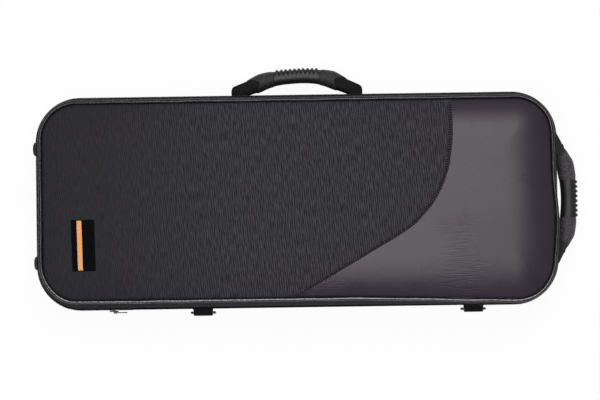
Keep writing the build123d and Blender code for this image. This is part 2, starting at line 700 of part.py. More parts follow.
for name, handle in HANDLES.items():
    band = core_band(handle)

    with BuildPart() as core:
        extrude(band, amount=CORE[0] / 2, both=True)
    save(core, f"{name}_core")

    with BuildPart() as grip:
        make_grip(handle)
        cut_core(band)
    save(grip, f"{name}_grip")

    with BuildPart() as pads:
        make_pad(handle, -1)
        make_pad(handle, 1)
        cut_core(band)
    save(pads, f"{name}_pads")

    with BuildPart() as collars:
        make_collar(handle, -1)
        make_collar(handle, 1)
        cut_core(band)
    save(collars, f"{name}_collars")

    for side, end in ((-1, "a"), (1, "b")):
        with BuildPart() as sleeve:
            make_sleeve(handle, side)
            cut_core(band)
        save(sleeve, f"{name}_sleeve_{end}")

    with BuildPart() as anchors:
        make_anchor(handle, -1)
        make_anchor(handle, 1)
    save(anchors, f"{name}_anchors")

    with BuildPart() as rivets:
        make_rivets(handle, -1)
        make_rivets(handle, 1)
    save(rivets, f"{name}_rivets")

# Webbing loops on the hinge wall, each with a ring for a shoulder strap

LOOP_WIDTH = 24.6
LOOP_THICK = 1.6
BAR_OUT = 11.5  # ring bar's distance from the wall
WIRE_R = 1.8
RING_HALF = 14.8  # half width of the ring's centre line
RING_SIDE = 8.0
RING_CORNER = 3.5
EYE_R = 2.6

for side, x in LOOP_X.items():
    frame = wall_frame((0, -1), -x, LOOP_Z)
    across = Plane(frame.origin, x_dir=frame.y_dir, z_dir=frame.x_dir)

    with BuildPart() as loop:
        with BuildSketch(across, mode=Mode.PRIVATE) as eye:
            with Locations((BAR_OUT, 0)):
                Circle(EYE_R)
            with Locations((LOOP_THICK + 0.4, 0)):
                Rectangle(0.4, 10)
            make_hull()
        with BuildSketch(across):
            with Locations((BAR_OUT, 0)):
                Circle(EYE_R + LOOP_THICK)
            with Locations((LOOP_THICK / 2, 0)):
                Rectangle(LOOP_THICK, 24)
            make_hull()
            add(eye.sketch_local, mode=Mode.SUBTRACT)
        extrude(amount=LOOP_WIDTH / 2, both=True)
    save(loop, f"ring_loop_{side}")

    # The ring hangs from its straight bar
    with BuildPart() as ring:
        upright = Plane(frame.from_local_coords(Vector(0, BAR_OUT, 0)), x_dir=(1, 0, 0), z_dir=(0, -1, 0))
        with BuildLine(upright) as ring_line:
            bar_and_sides = FilletPolyline(
                (-RING_HALF, -RING_SIDE),
                (-RING_HALF, 0),
                (RING_HALF, 0),
                (RING_HALF, -RING_SIDE),
                radius=RING_CORNER,
            )
            ThreePointArc(bar_and_sides @ 1, (0, -RING_SIDE - RING_HALF), bar_and_sides @ 0)
        with BuildSketch(Plane(upright.origin, z_dir=(1, 0, 0)), mode=Mode.PRIVATE) as wire:
            RegularPolygon(WIRE_R, 12)
        sweep(wire.sketch, path=ring_line.wire())
    save(ring, f"strap_ring_{side}")

# Rubber feet on the left end, with their screws

FOOT_R = 10.0
FOOT_PROUD = 13.0
FOOT_DOME = 3.5
SCREW_HEAD = (4.0, 2.2)  # radius and height
SCREW_SINK = 7.0  # from the foot's top to the screw head's top
SCREW_LENGTH = 8.0  # into the wall

with BuildPart() as end_feet:
    for y in (-RUBBER_FOOT_Y, RUBBER_FOOT_Y):
        seat = flat_on_wall(wall_frame((-1, 0), y, RUBBER_FOOT_Z))
        half = Plane(seat.origin, x_dir=seat.x_dir, z_dir=seat.y_dir * -1)
        with BuildSketch(half, mode=Mode.PRIVATE) as section:
            with BuildLine():
                Polyline(
                    (FOOT_SCREW_R, 0),
                    (FOOT_R, 0),
                    (FOOT_R - 1, FOOT_PROUD - FOOT_DOME),
                )
                RadiusArc((FOOT_R - 1, FOOT_PROUD - FOOT_DOME), (FOOT_R - 1 - FOOT_DOME, FOOT_PROUD), -FOOT_DOME)
                Polyline(
                    (FOOT_R - 1 - FOOT_DOME, FOOT_PROUD),
                    (SCREW_HEAD[0], FOOT_PROUD),
                    (SCREW_HEAD[0], FOOT_PROUD - SCREW_SINK - SCREW_HEAD[1]),
                    (FOOT_SCREW_R, FOOT_PROUD - SCREW_SINK - SCREW_HEAD[1]),
                    (FOOT_SCREW_R, 0),
                )
            make_face()
        revolve(section.sketch, axis=Axis(seat.origin, seat.z_dir))
save(end_feet, "end_feet")

with BuildPart() as end_foot_screws:
    for y in (-RUBBER_FOOT_Y, RUBBER_FOOT_Y):
        seat = flat_on_wall(wall_frame((-1, 0), y, RUBBER_FOOT_Z))
        with BuildSketch(seat.offset(FOOT_PROUD - SCREW_SINK - SCREW_HEAD[1]), mode=Mode.PRIVATE) as head:
            Circle(SCREW_HEAD[0])
        extrude(head.sketch, amount=SCREW_HEAD[1])
        with BuildSketch(seat.offset(-SCREW_LENGTH), mode=Mode.PRIVATE) as shank:
            Circle(FOOT_SCREW_R)
        extrude(shank.sketch, amount=SCREW_LENGTH + FOOT_PROUD - SCREW_SINK - SCREW_HEAD[1])
save(end_foot_screws, "end_foot_screws")

for name, handle in HANDLES.items():
    pivot = handle.frame.from_local_coords(Vector(0, PIVOT_HEIGHT, 0))
    print(name, "hinge line through", pivot, "along", handle.frame.x_dir)
for side, x in LOOP_X.items():
    frame = wall_frame((0, -1), -x, LOOP_Z)
    print(side, "ring bar through", frame.from_local_coords(Vector(0, BAR_OUT, 0)), "along", frame.x_dir)
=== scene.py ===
import math

import bpy
import numpy as np
from bpy.props import FloatProperty, PointerProperty, StringProperty
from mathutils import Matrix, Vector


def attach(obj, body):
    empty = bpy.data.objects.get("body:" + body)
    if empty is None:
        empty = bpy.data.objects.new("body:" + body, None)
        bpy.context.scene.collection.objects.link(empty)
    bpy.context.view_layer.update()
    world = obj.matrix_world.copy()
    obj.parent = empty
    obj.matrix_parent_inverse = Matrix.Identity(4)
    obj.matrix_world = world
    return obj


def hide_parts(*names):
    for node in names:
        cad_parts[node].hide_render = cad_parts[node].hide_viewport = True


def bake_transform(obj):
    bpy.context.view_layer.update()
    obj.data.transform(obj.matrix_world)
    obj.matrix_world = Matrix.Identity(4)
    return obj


bl_info = {
    "name": "Alto Saxophone Case",
    "version": (1, 0, 0),
    "blender": (4, 5, 0),
    "location": "View3D > Sidebar > Sax Case",
    "description": "Builds the covers, zip, handles, padding and stage of a zipped alto saxophone case",
    "category": "Add Mesh",
}

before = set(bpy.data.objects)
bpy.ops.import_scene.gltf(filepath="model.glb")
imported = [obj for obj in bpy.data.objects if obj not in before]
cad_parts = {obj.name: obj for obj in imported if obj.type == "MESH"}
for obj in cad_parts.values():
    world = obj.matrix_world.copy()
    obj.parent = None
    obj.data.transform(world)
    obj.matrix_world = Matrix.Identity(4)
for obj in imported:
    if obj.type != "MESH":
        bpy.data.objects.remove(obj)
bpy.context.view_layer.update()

MM = 0.001  # forms are worked out in millimetres and written into the meshes in metres
SPLIT = 95.0  # height of the zip's middle
TOP = 165.0  # height of the front piping
BASE_SLOPE = 9.5 / 90.3  # inset over height of the base and lid walls
LID_SLOPE = 7.8 / 65.3
ZIP_PROUD = 1.5  # the covers start this far inside the zip line
SIDES = (("base", -1), ("lid", 1))  # each half with its way from the split
# Along the case, away from its hinge, and out of its lid
ALONG, AWAY, UP = np.eye(3)


def linear(code):
    """Turns an sRGB hex colour into linear red, green, blue and alpha."""
    parts = np.array([int(code[i : i + 2], 16) for i in (1, 3, 5)]) / 255
    parts = np.where(parts <= 0.04045, parts / 12.92, ((parts + 0.055) / 1.055) ** 2.4)
    return (*[float(p) for p in parts], 1.0)


# Sizes and colours that a user would change


def metres(name, description, default):
    return FloatProperty(name=name, description=description, default=default, unit="LENGTH")


def hex_colour(name, description, default):
    return StringProperty(name=name, description=f"{description}, sRGB hex", default=default)


class CaseSizes(bpy.types.PropertyGroup):
    length: metres("Length", "Over the zip", 0.660)
    width: metres("Width", "Over the zip, from wall to wall", 0.270)
    corner: metres("Corner radius", "In plan, on the zip line", 0.057)
    piping: metres("Piping radius", "Of the cord in the edges", 0.0023)
    rib_pitch: metres("Rib pitch", "Between the ribs of the woven cover", 0.0027)
    dome: metres("Dome", "How far the front panel's padding rises", 0.0095)
    tooth_pitch: metres("Tooth pitch", "Between two turns of the zip's coil", 0.002)
    stitch: metres("Stitch length", "Of the seams", 0.0036)


class CaseColours(bpy.types.PropertyGroup):
    cover: hex_colour("Cover", "Woven nylon", "#2F2D32")
    leather: hex_colour("Accent panel", "Smooth leatherette", "#322B35")
    piping: hex_colour("Piping", "Vinyl cord", "#161517")
    tape: hex_colour("Zip tape", "Woven polyester", "#1C1B1F")
    coil: hex_colour("Zip coil", "Nylon", "#1C1B1E")
    plush: hex_colour("Plush", "Lining", "#2E2D31")
    webbing: hex_colour("Webbing", "Polypropylene straps", "#252425")
    rubber: hex_colour("Grip", "Moulded rubber", "#2E2A2D")
    stripe: hex_colour("Label stripe", "Dyed ribbon", "#E79F62")


# Mesh parts: vertices, faces and a UV pair for each face corner


def circle(count, start=0.0):
    """Angles once round, without the last."""
    return np.linspace(start, start + 2 * math.pi, count, endpoint=False)


def unit(vectors):
    return vectors / np.linalg.norm(vectors, axis=-1, keepdims=True)


def signed_power(value, power):
    """The power of the value's size, with its sign kept: it squares off a sine or cosine for a superellipse."""
    return np.sign(value) * np.abs(value) ** power


def lengths_along(points, axis=0):
    """Distances along a grid of points from its first row, the mean over the other direction."""
    steps = np.linalg.norm(np.diff(points, axis=axis), axis=-1).mean(axis=1 - axis)
    return np.concatenate([[0.0], np.cumsum(steps)])


def grid(points, around=False, closed=False, caps=False, uv=None):
    """Quads between neighbours of a grid of points (rows, columns, 3) in millimetres. `around` joins the last column
    to the first, `closed` the last row to the first, and `caps` closes the first and last rows with a polygon each.
    The UV map is the distance in metres along the rows and columns, unless `uv` gives it."""
    rows, cols = points.shape[:2]
    if uv is None:
        down = lengths_along(np.concatenate([points, points[:1]]) if closed else points, 0)
        across = lengths_along(np.concatenate([points, points[:, :1]], axis=1) if around else points, 1)
        uv = np.stack(np.meshgrid(down, across, indexing="ij"), axis=-1)
    last_row, last_col = rows - (0 if closed else 1), cols - (0 if around else 1)
    i, j = np.meshgrid(np.arange(last_row), np.arange(last_col), indexing="ij")
    i, j = i.ravel(), j.ravel()
    corners = ((i, j), (i + 1, j), (i + 1, j + 1), (i, j + 1))
    faces = np.stack([(a % rows) * cols + b % cols for a, b in corners], axis=1).tolist()
    uvs = [np.stack([uv[a, b] for a, b in corners], axis=1).reshape(-1, 2)]
    if caps:
        ring = np.arange(cols)
        for row, order in ((0, ring), (rows - 1, ring[::-1])):
            faces.append((row * cols + order).tolist())
            uvs.append(uv[row, order])
    return points.reshape(-1, 3), faces, np.concatenate(uvs) * MM


def scatter(shape, faces, origins, axes):
    """Copies of a small shape: each is shape @ axes[k] + origins[k]."""
    points = np.einsum("vi,kij->kvj", shape, axes) + origins[:, None, :]
    repeated = [[v + k * len(shape) for v in face] for k in range(len(origins)) for face in faces]
    uvs = np.concatenate([shape[face][:, :2] for face in faces])
    return points.reshape(-1, 3), repeated, np.tile(uvs, (len(origins), 1)) * MM


def signed_volume(points, faces):
    """Six times the volume inside closed faces: above zero where they point outwards."""
    fans = np.array([(f[0], f[k], f[k + 1]) for f in faces for k in range(1, len(f) - 1)])
    a, b, c = (points[fans[:, k]] for k in range(3))
    return float((a * np.cross(b, c)).sum())


def build(name, parts, finishes, body=None, nodes=(), sharp=40.0, slump=False):
    """One object from mesh parts, each turned to point outwards. Part number k takes finish number k. The object moves
    with the body and stands for the CAD nodes. `slump` lets it follow the lid's soft face."""
    finishes, nodes = ([given] if isinstance(given, str) else given for given in (finishes, nodes))
    points, faces, uvs, slots, start = [], [], [], [], 0
    for number, (own, own_faces, own_uv) in enumerate(parts):
        if signed_volume(own - own.mean(axis=0), own_faces) < 0:
            # The corners of each face in reverse order, and their UVs with them
            sizes = np.array([len(f) for f in own_faces])
            turned = np.repeat(2 * np.cumsum(sizes) - sizes, sizes) - 1 - np.arange(len(own_uv))
            own_uv = own_uv[turned]
            own_faces = [f[::-1] for f in own_faces]
        points.append((slumped(own) if slump else own) * MM)
        faces += [[v + start for v in f] for f in own_faces]
        uvs.append(own_uv)
        slots += [min(number, len(finishes) - 1)] * len(own_faces)
        start += len(own)
    mesh = bpy.data.meshes.new(name)
    mesh.from_pydata(np.concatenate(points).tolist(), [], faces)
    layer = mesh.uv_layers.new(name="UVMap")
    layer.data.foreach_set("uv", np.concatenate(uvs).astype(np.float32).ravel())
    mesh.polygons.foreach_set("use_smooth", np.ones(len(faces), bool))
    mesh.polygons.foreach_set("material_index", np.array(slots, np.int32))
    for finish in finishes:
        mesh.materials.append(finish_of(finish))
    mesh.set_sharp_from_angle(angle=math.radians(sharp))
    mesh.validate()
    piece = bpy.data.objects.new(name, mesh)
    bpy.context.scene.collection.objects.link(piece)
    if body:
        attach(piece, body)
    if nodes:
        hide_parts(*nodes)
    return piece


def puffed(piece, pressure, cap, pinned):
    """Swells a closed piece as stuffed cloth. Its surface is cut into even cells, and a pressure inside pushes them
    outwards for twenty frames, while the points where pinned(points) is true stay. No point moves further than
    `cap` millimetres. The result is written into the mesh."""
    scene = bpy.context.scene
    even = piece.modifiers.new("even", "REMESH")
    even.mode = "VOXEL"
    even.voxel_size = 0.005
    even.use_smooth_shade = True
    piece.data = bpy.data.meshes.new_from_object(piece.evaluated_get(bpy.context.evaluated_depsgraph_get()))
    piece.modifiers.clear()
    start = np.empty((len(piece.data.vertices), 3), np.float32)
    piece.data.vertices.foreach_get("co", start.ravel())
    group = piece.vertex_groups.new(name="pinned")
    group.add(np.flatnonzero(pinned(start / MM)).tolist(), 1.0, "REPLACE")
    cloth = piece.modifiers.new("cloth", "CLOTH").settings
    cloth.vertex_group_mass = "pinned"
    cloth.use_pressure = True
    cloth.uniform_pressure_force = pressure
    cloth.effector_weights.gravity = 0.0
    for number in range(1, 21):
        scene.frame_set(number)
    swollen = np.empty_like(start)
    shown = piece.evaluated_get(bpy.context.evaluated_depsgraph_get())
    shown.data.vertices.foreach_get("co", swollen.ravel())
    scene.frame_set(1)
    piece.modifiers.clear()
    moved = swollen - start
    moved *= np.minimum(1.0, cap * MM / np.maximum(np.linalg.norm(moved, axis=1, keepdims=True), 1e-9))
    piece.data.vertices.foreach_set("co", (start + moved).ravel())
    smooth = piece.modifiers.new("smooth", "SUBSURF")
    smooth.levels = smooth.render_levels = 1


# Forms of the case


def case_sizes():
    """Half length, half width and corner radius of the zip line."""
    sizes = bpy.context.scene.case_sizes
    return sizes.length / MM / 2, sizes.width / MM / 2, sizes.corner / MM


def outline_length():
    half_x, half_y, radius = case_sizes()
    return 4 * (half_x + half_y) - (8 - 2 * math.pi) * radius


def outline(s):
    """Points and outward directions of the zip line at lengths s from the middle of the hinge wall, first towards the
    right end. The centre of curvature runs round a smaller rectangle and the direction turns a quarter at each
    corner; a point is the centre plus the radius times the direction."""
    half_x, half_y, radius = case_sizes()
    cx, cy = half_x - radius, half_y - radius
    turn = math.pi * radius / 2
    knots = np.cumsum([0.0, cx, turn, 2 * cy, turn, 2 * cx, turn, 2 * cy, turn, cx])
    s = np.asarray(s) % knots[-1]
    angle = np.radians(np.interp(s, knots, [-90, -90, 0, 0, 90, 90, 180, 180, 270, 270]))
    out = np.stack([np.cos(angle), np.sin(angle)], axis=-1)
    centre_x = np.interp(s, knots, [0, cx, cx, cx, cx, -cx, -cx, -cx, -cx, 0])
    centre_y = np.interp(s, knots, [-cy, -cy, -cy, cy, cy, cy, cy, -cy, -cy, -cy])
    return np.stack([centre_x, centre_y], axis=-1) + radius * out, out


def placed(s, inset, z):
    """Points `inset` inside the zip line at lengths s and heights z; the three arrays broadcast."""
    s, inset, z = np.broadcast_arrays(s, inset, z)
    at, out = outline(s)
    return np.concatenate([at - inset[..., None] * out, z[..., None]], axis=-1)


def wall_inset(z):
    """Inset of the covers' outer face: both walls lean in from the split."""
    z = np.asarray(z)
    return ZIP_PROUD + np.abs(z - SPLIT) * np.where(z < SPLIT, BASE_SLOPE, LID_SLOPE)


def waves(s, count, size, seed):
    """Unevenness of sewn cloth round the case: a sum of `count` sines of random phase whose periods go evenly into
    the outline, so that it closes."""
    draw = np.random.default_rng(seed)
    turns = draw.integers(6, 48, count)
    phases = draw.uniform(0, 2 * math.pi, count)
    share = draw.uniform(0.4, 1.0, count)
    total = sum(a * np.sin(2 * math.pi * t * s / outline_length() + p) for a, t, p in zip(share, turns, phases))
    return size * total / math.sqrt(count)


def noise_2d(x, y, size, seed):
    """Smooth unevenness: a sum of nine plane waves of random direction with wavelengths near `size`."""
    draw = np.random.default_rng(seed)
    total = np.zeros_like(x)
    for _ in range(9):
        angle, phase = draw.uniform(0, 2 * math.pi, 2)
        k = 2 * math.pi / (size * draw.uniform(0.6, 1.6))
        total += np.sin(k * (x * math.cos(angle) + y * math.sin(angle)) + phase)
    return total / 3


def stations(step, start=None, stop=None):
    """Lengths along the zip line about `step` apart, all round or from start to stop."""
    if start is None:
        return np.linspace(0, outline_length(), round(outline_length() / step), endpoint=False)
    return np.linspace(start, stop, max(2, round((stop - start) / step)))


def band(s, inset, z, closed=True, caps=False):
    """A profile of points (inset, z) carried round the case: inset and z are (columns,) or (rows, columns)."""
    return grid(placed(s[:, None], inset, z), around=True, closed=closed, caps=caps)


def smooth_step(t):
    t = np.clip(t, 0, 1)
    return t * t * (3 - 2 * t)


def slumped(points):
    """The lid's padded face has settled, all the more the higher over the zip. Near the right end its hinge side has
    sunk up to 5.5 mm towards the hinge wall, and its right edge bulges 4.4 mm outwards just below the middle."""
    x, y, z = points.T
    height = np.clip((z - SPLIT) / 68, 0, 1)
    sunk = smooth_step((x - 40) / 260) * np.clip(-y / 122, 0, 1) ** 1.5
    bulge = smooth_step((x - 150) / 180) * np.exp(-(((y + 30) / 45) ** 2))
    return np.stack([x + 4.4 * height * bulge, y - 5.5 * height * sunk, z], axis=1)


def edge_distance(x, y, half_x, half_y, radius):
    """How far inside a rounded rectangle a point lies."""
    qx = np.abs(x) - (half_x - radius)
    qy = np.abs(y) - (half_y - radius)
    return radius - np.hypot(np.maximum(qx, 0), np.maximum(qy, 0)) - np.minimum(np.maximum(qx, qy), 0)


def plate(half_x, half_y, radius, step, lower, upper, left=None, right=None):
    """A closed plate over a rounded rectangle: rows run across it, and each row is a loop along its top and back
    along its underside. lower(x, y, inside) and upper(x, y, inside) give the heights from the point and its distance
    from the edge; left(y) and right(y) may cut the rows short along a seam."""
    # Rows are even on the straight sides, and even in angle round the corners
    corner = np.linspace(0, math.pi / 2, max(6, round(radius * math.pi / 2 / step)))
    far = half_y - radius + radius * np.sin(corner)
    middle = np.linspace(-(half_y - radius), half_y - radius, round(2 * (half_y - radius) / step) + 1)
    y = np.concatenate([-far[:0:-1], middle, far[1:]])
    past = np.clip(np.abs(y) - (half_y - radius), 0, radius)
    reach = half_x - radius + np.sqrt(np.maximum(radius**2 - past**2, 0))
    low = -reach if left is None else np.maximum(left(y), -reach)
    high = reach if right is None else np.minimum(right(y), reach)
    t = np.linspace(0, 1, max(8, round(2 * half_x / step)))
    if step > 3:
        # Wide columns crowd towards both ends, where the edge rolls over.
        t = t - 0.6 * np.sin(4 * math.pi * t) / (4 * math.pi)
    x = low[:, None] + (high - low)[:, None] * t
    y = np.broadcast_to(y[:, None], x.shape)
    inside = edge_distance(x, y, half_x, half_y, radius)
    top = np.stack([x, y, upper(x, y, inside)], axis=-1)
    bottom = np.stack([x, y, lower(x, y, inside)], axis=-1)[:, ::-1]
    points = np.concatenate([top, bottom], axis=1)
    flat = points[..., :2]
    return grid(points, around=True, caps=True, uv=np.concatenate([flat, flat[:, :1]], axis=1))


def level(height):
    """A flat surface, for `plate`."""
    return lambda x, y, inside: np.full_like(x, height)


def strap(path, width, thick, columns=16):
    """Flat webbing along a path of points: its section is a flattened superellipse, `width` along the case and
    `thick` along the path's normal. `width` may change along the path."""
    half = np.broadcast_to(width, len(path)) / 2
    normal = unit(np.cross(ALONG, np.gradient(path, axis=0)))
    side = signed_power(np.cos(circle(columns)), 0.25)
    high = signed_power(np.sin(circle(columns)), 0.5)
    points = (
        path[:, None]
        + (half[:, None] * side)[..., None] * ALONG
        + (thick / 2 * high)[None, :, None] * normal[:, None]
    )
    lateral = half.mean() * np.append(side, side[0])
    uv = np.stack(np.meshgrid(lengths_along(path[:, None]), lateral, indexing="ij"), axis=-1)
    return grid(points, around=True, caps=True, uv=uv)


def tube(line, radius, first, second, sides):
    """Circles of points round a line, each in the plane of two directions square to it."""
    angle = circle(sides)[:, None]
    return line[:, None] + radius * (np.cos(angle) * first[:, None] + np.sin(angle) * second)


# Materials


def add_node(material, kind, inputs=None, **settings):
    """Adds a node, sets its properties and inputs, and links an input that is given another node's output."""
    node = material.node_tree.nodes.new(kind)
    for key, value in settings.items():
        setattr(node, key, value)
    for key, value in (inputs or {}).items():
        if isinstance(value, bpy.types.NodeSocket):
            material.node_tree.links.new(value, node.inputs[key])
        else:
            node.inputs[key].default_value = value
    return node


def rebased(code, factor):
    """The sRGB hex colour made lighter or darker by a factor."""
    parts = [min(255, round(int(code[i : i + 2], 16) * factor)) for i in (1, 3, 5)]
    return "#%02X%02X%02X" % tuple(parts)


class Finish:
    """A material in the making. Each method adds a node or two and gives back an output of theirs."""

    def __init__(self, name, code, roughness, **constants):
        self.code = code
        self.material = bpy.data.materials.new(name)
        self.material.use_nodes = True
        self.shader = self.material.node_tree.nodes["Principled BSDF"]
        for key, value in {"Base_Color": linear(code), "Roughness": roughness, **constants}.items():
            self.shader.inputs[key.replace("_", " ")].default_value = value

    def place(self, source="Object", turn=0.0, scale=(1000.0, 1000.0, 1000.0)):
        """The piece's Object or UV coordinates in millimetres, turned about Z by `turn` degrees."""
        given = add_node(self.material, "ShaderNodeTexCoord").outputs[source]
        values = {"Vector": given, "Rotation": (0, 0, math.radians(turn)), "Scale": scale}
        return add_node(self.material, "ShaderNodeMapping", values).outputs["Vector"]

    def part(self, vector, axis):
        return add_node(self.material, "ShaderNodeSeparateXYZ", {"Vector": vector}).outputs[axis]

    def noise(self, vector, scale, detail, **more):
        values = {"Vector": vector, "Scale": scale, "Detail": detail, **more}
        return add_node(self.material, "ShaderNodeTexNoise", values).outputs["Fac"]

    def voronoi(self, vector, scale, **settings):
        values = {"Vector": vector, "Scale": scale}
        return add_node(self.material, "ShaderNodeTexVoronoi", values, **settings).outputs["Distance"]

    def carried(self, value, low, high, to_low=0.0, to_high=1.0):
        """The value, with the range from low to high carried over to another and held within it."""
        values = {"Value": value, "From Min": low, "From Max": high, "To Min": to_low, "To Max": to_high}
        return add_node(self.material, "ShaderNodeMapRange", values).outputs["Result"]

    def maths(self, operation, *operands):
        values = dict(enumerate(operands))
        return add_node(self.material, "ShaderNodeMath", values, operation=operation).outputs[0]

    def between(self, factor, dark, light):
        """A colour between two sRGB hex values."""
        values = {0: factor, 6: linear(dark), 7: linear(light)}
        return add_node(self.material, "ShaderNodeMix", values, data_type="RGBA").outputs[2]

    def tint(self, factor, dark, light):
        """A colour between the finish's own made darker and made lighter."""
        return self.between(factor, rebased(self.code, dark), rebased(self.code, light))

    def done(self, shade, height, depth, **varying):
        """Links the colour, the bump height over a depth in metres and other varying values into the shader."""
        bump = add_node(self.material, "ShaderNodeBump", {"Height": height, "Distance": depth})
        for key, value in {"Base_Color": shade, "Normal": bump.outputs["Normal"], **varying}.items():
            self.material.node_tree.links.new(value, self.shader.inputs[key.replace("_", " ")])
        return self.material


def ribbed_nylon(name, code, gloss):
    """Heavy nylon cloth woven in ribs that run a few degrees off the case's short side. The yarn is dull and black;
    the light catches the ribs as broken streaks, because the floats on each rib lie unevenly."""
    pitch = bpy.context.scene.case_sizes.rib_pitch / MM
    sheen = {"Sheen_Weight": gloss / 4, "Sheen_Tint": linear("#8C8894")}
    nylon = Finish(name, code, 0.8, Specular_IOR_Level=gloss, **sheen)
    vector = nylon.place("UV", turn=84.3)
    wave = nylon.maths("SINE", nylon.maths("MULTIPLY", nylon.part(vector, "Y"), 2 * math.pi / pitch))
    # Floats are about 12 mm long; the yarns beside each other differ.
    values = {0: vector, 1: (0.085, 0.8, 1.0)}
    long = add_node(nylon.material, "ShaderNodeVectorMath", values, operation="MULTIPLY").outputs[0]
    floats = nylon.carried(nylon.noise(long, 1.0, 2.0, Roughness=0.6), 0.3, 0.7)
    # Towards the left end the ribs are drawn flatter, and the cloth's colour darker as painted shade.
    relief_and_shade = nylon.carried(nylon.part(nylon.place(), "X"), -240.0, -60.0, 0.25, 1.0)
    rib = nylon.maths("SUBTRACT", nylon.maths("MULTIPLY_ADD", wave, 0.27, floats), 0.5)
    height = nylon.maths("MULTIPLY_ADD", rib, relief_and_shade, nylon.maths("MULTIPLY_ADD", relief_and_shade, 0.32, 0.1))
    return nylon.done(nylon.tint(height, 0.5, 1.5), height, 0.00045)


def leatherette(name, code):
    """Smooth coated cloth with an embossed skin. It is satin, with a fine grain, and creases lightly along its length
    where it is pulled over the padding."""
    skin = Finish(name, code, 0.28, Specular_IOR_Level=0.19)
    vector = skin.place()
    # The real grain is about 0.5 mm, which is too fine to show, so it is drawn at 1.1 mm.
    grain = skin.carried(skin.voronoi(vector, 0.9, feature="DISTANCE_TO_EDGE"), 0.0, 0.25)
    creases = skin.carried(skin.noise(skin.place(scale=(45.0, 620.0, 100.0)), 1.0, 2.0), 0.4, 0.62)
    where = skin.carried(skin.noise(skin.place(scale=(9.0, 16.0, 10.0)), 1.0, 1.0), 0.48, 0.66)
    height = skin.maths("MULTIPLY_ADD", grain, 0.22, skin.maths("MULTIPLY", creases, where))
    rub = skin.noise(vector, 0.03, 3.0)
    return skin.done(skin.tint(rub, 0.9, 1.1), height, 0.00011, Roughness=skin.carried(rub, 0, 1, 0.24, 0.32))


def vinyl_piping(name, code):
    """Soft vinyl pulled over a cord. It is smooth and half glossy, so it carries a long broken highlight."""
    vinyl = Finish(name, code, 0.25)
    skin = vinyl.noise(vinyl.place("UV"), 0.35, 4.0)
    rough = vinyl.carried(skin, 0, 1, 0.17, 0.33)
    # On the hinge side the vinyl is rubbed to a shine, because the case is carried with that side down.
    shine = vinyl.carried(vinyl.part(vinyl.place(), "Y"), -130.0, -70.0, 0.8, 0.27)
    return vinyl.done(vinyl.tint(skin, 0.85, 1.2), skin, 0.00025, Roughness=rough, Specular_IOR_Level=shine)


def woven_tape(name, code, thread, roughness=0.7, depth=0.00018):
    """Flat woven tape or webbing. Its threads run in a herringbone: bands of slanting floats that change direction
    every few threads, dull with a faint relief, and with a painted sheen that makes the crowns lighter."""
    tape = Finish(name, code, roughness, Specular_IOR_Level=0.0)
    vector = tape.place("UV")
    zigzag = tape.maths("PINGPONG", tape.part(vector, "Y"), 2.2 * thread)
    phase = tape.maths("MULTIPLY", tape.maths("ADD", tape.part(vector, "X"), zigzag), 2 * math.pi / thread)
    crown = tape.maths("MULTIPLY_ADD", tape.maths("SINE", phase), 0.5, 0.5)
    height = tape.maths("MULTIPLY_ADD", tape.noise(vector, 1.6, 3.0), 0.5, crown)
    # The crowns are drawn lighter: a painted sheen.
    return tape.done(tape.tint(crown, 0.72, 1.35), height, depth)


def plush_pile(name, code):
    """Brushed knitted plush over foam. The short pile scatters light, so it is soft and matt with a pale sheen at the
    edges, and it shows strokes where it was brushed."""
    plush = Finish(name, code, 0.95, Specular_IOR_Level=0.1, Sheen_Weight=0.7, Sheen_Tint=linear("#77747C"))
    strokes = plush.noise(plush.place(scale=(28.0, 55.0, 40.0)), 1.0, 3.0)
    mixed = plush.maths("MULTIPLY", plush.maths("ADD", plush.noise(plush.place(), 0.9, 4.0), strokes), 0.5)
    return plush.done(plush.tint(mixed, 0.6, 1.5), mixed, 0.0009)


def moulded_rubber(name, code, roughness, pips=False):
    """Moulded rubber with a fine sparked surface from its mould, and small pips on a pad that is made not to slip."""
    rubber = Finish(name, code, roughness)
    vector = rubber.place()
    fine = rubber.noise(vector, 1.4, 3.0)
    if not pips:
        return rubber.done(rubber.tint(fine, 0.85, 1.15), fine, 0.0003)
    # Pips 1.6 mm apart: the real ones look finer, and this is as fine as shows. Their crowns are drawn lighter
    #         # and their bases darker, a painted highlight.
    crown = rubber.carried(rubber.voronoi(vector, 0.62), 0.1, 0.5, 1.0, 0.0)
    return rubber.done(rubber.tint(crown, 0.75, 1.7), rubber.maths("ADD", crown, fine), 0.0003)


def filament(name, code, roughness, specular, scale, dark):
    """Drawn plastic thread: the zip's extruded nylon is smooth with a soft shine on each turn, and waxed polyester
    sewing thread is twisted and dull. Both vary a little in tone."""
    yarn = Finish(name, code, roughness, Specular_IOR_Level=specular)
    cloud = yarn.noise(yarn.place(), scale, 2.0)
    return yarn.done(yarn.tint(cloud, dark, 1.3), cloud, 0.0001)


def coated_zinc(name, code, metallic, roughness):
    """Cast or drawn metal with a thin finish: smooth, a little cloudy, and brighter where hands rub it."""
    metal = Finish(name, code, roughness, Metallic=metallic)
    cloud = metal.noise(metal.place(), 0.5, 4.0)
    rough = metal.carried(cloud, 0, 1, roughness - 0.1, roughness + 0.14)
    return metal.done(metal.tint(cloud, 0.8, 1.25), cloud, 0.00005, Roughness=rough)


def laminated_ply(name):
    """Thin ply pressed into a shell. Only its edge shows, sealed with a dark brown stain that sinks in unevenly."""
    ply = Finish(name, "#2C231C", 0.6)
    layers = ply.noise(ply.place(), 0.2, 5.0, Distortion=1.0)
    return ply.done(ply.between(layers, "#181310", "#2D251E"), layers, 0.0001)


def dyed_ribbon(name, code):
    """Woven ribbon of bright dyed yarn, fine crosswise ribs with a silky shine."""
    ribbon = Finish(name, code, 0.55, Sheen_Weight=0.2)
    values = {"Vector": ribbon.place("UV"), "Scale": 0.35, "Distortion": 0.6}
    ribs = add_node(ribbon.material, "ShaderNodeTexWave", values, bands_direction="X").outputs["Fac"]
    return ribbon.done(ribbon.tint(ribs, 0.9, 1.04), ribs, 0.0001)


MATERIALS = {}


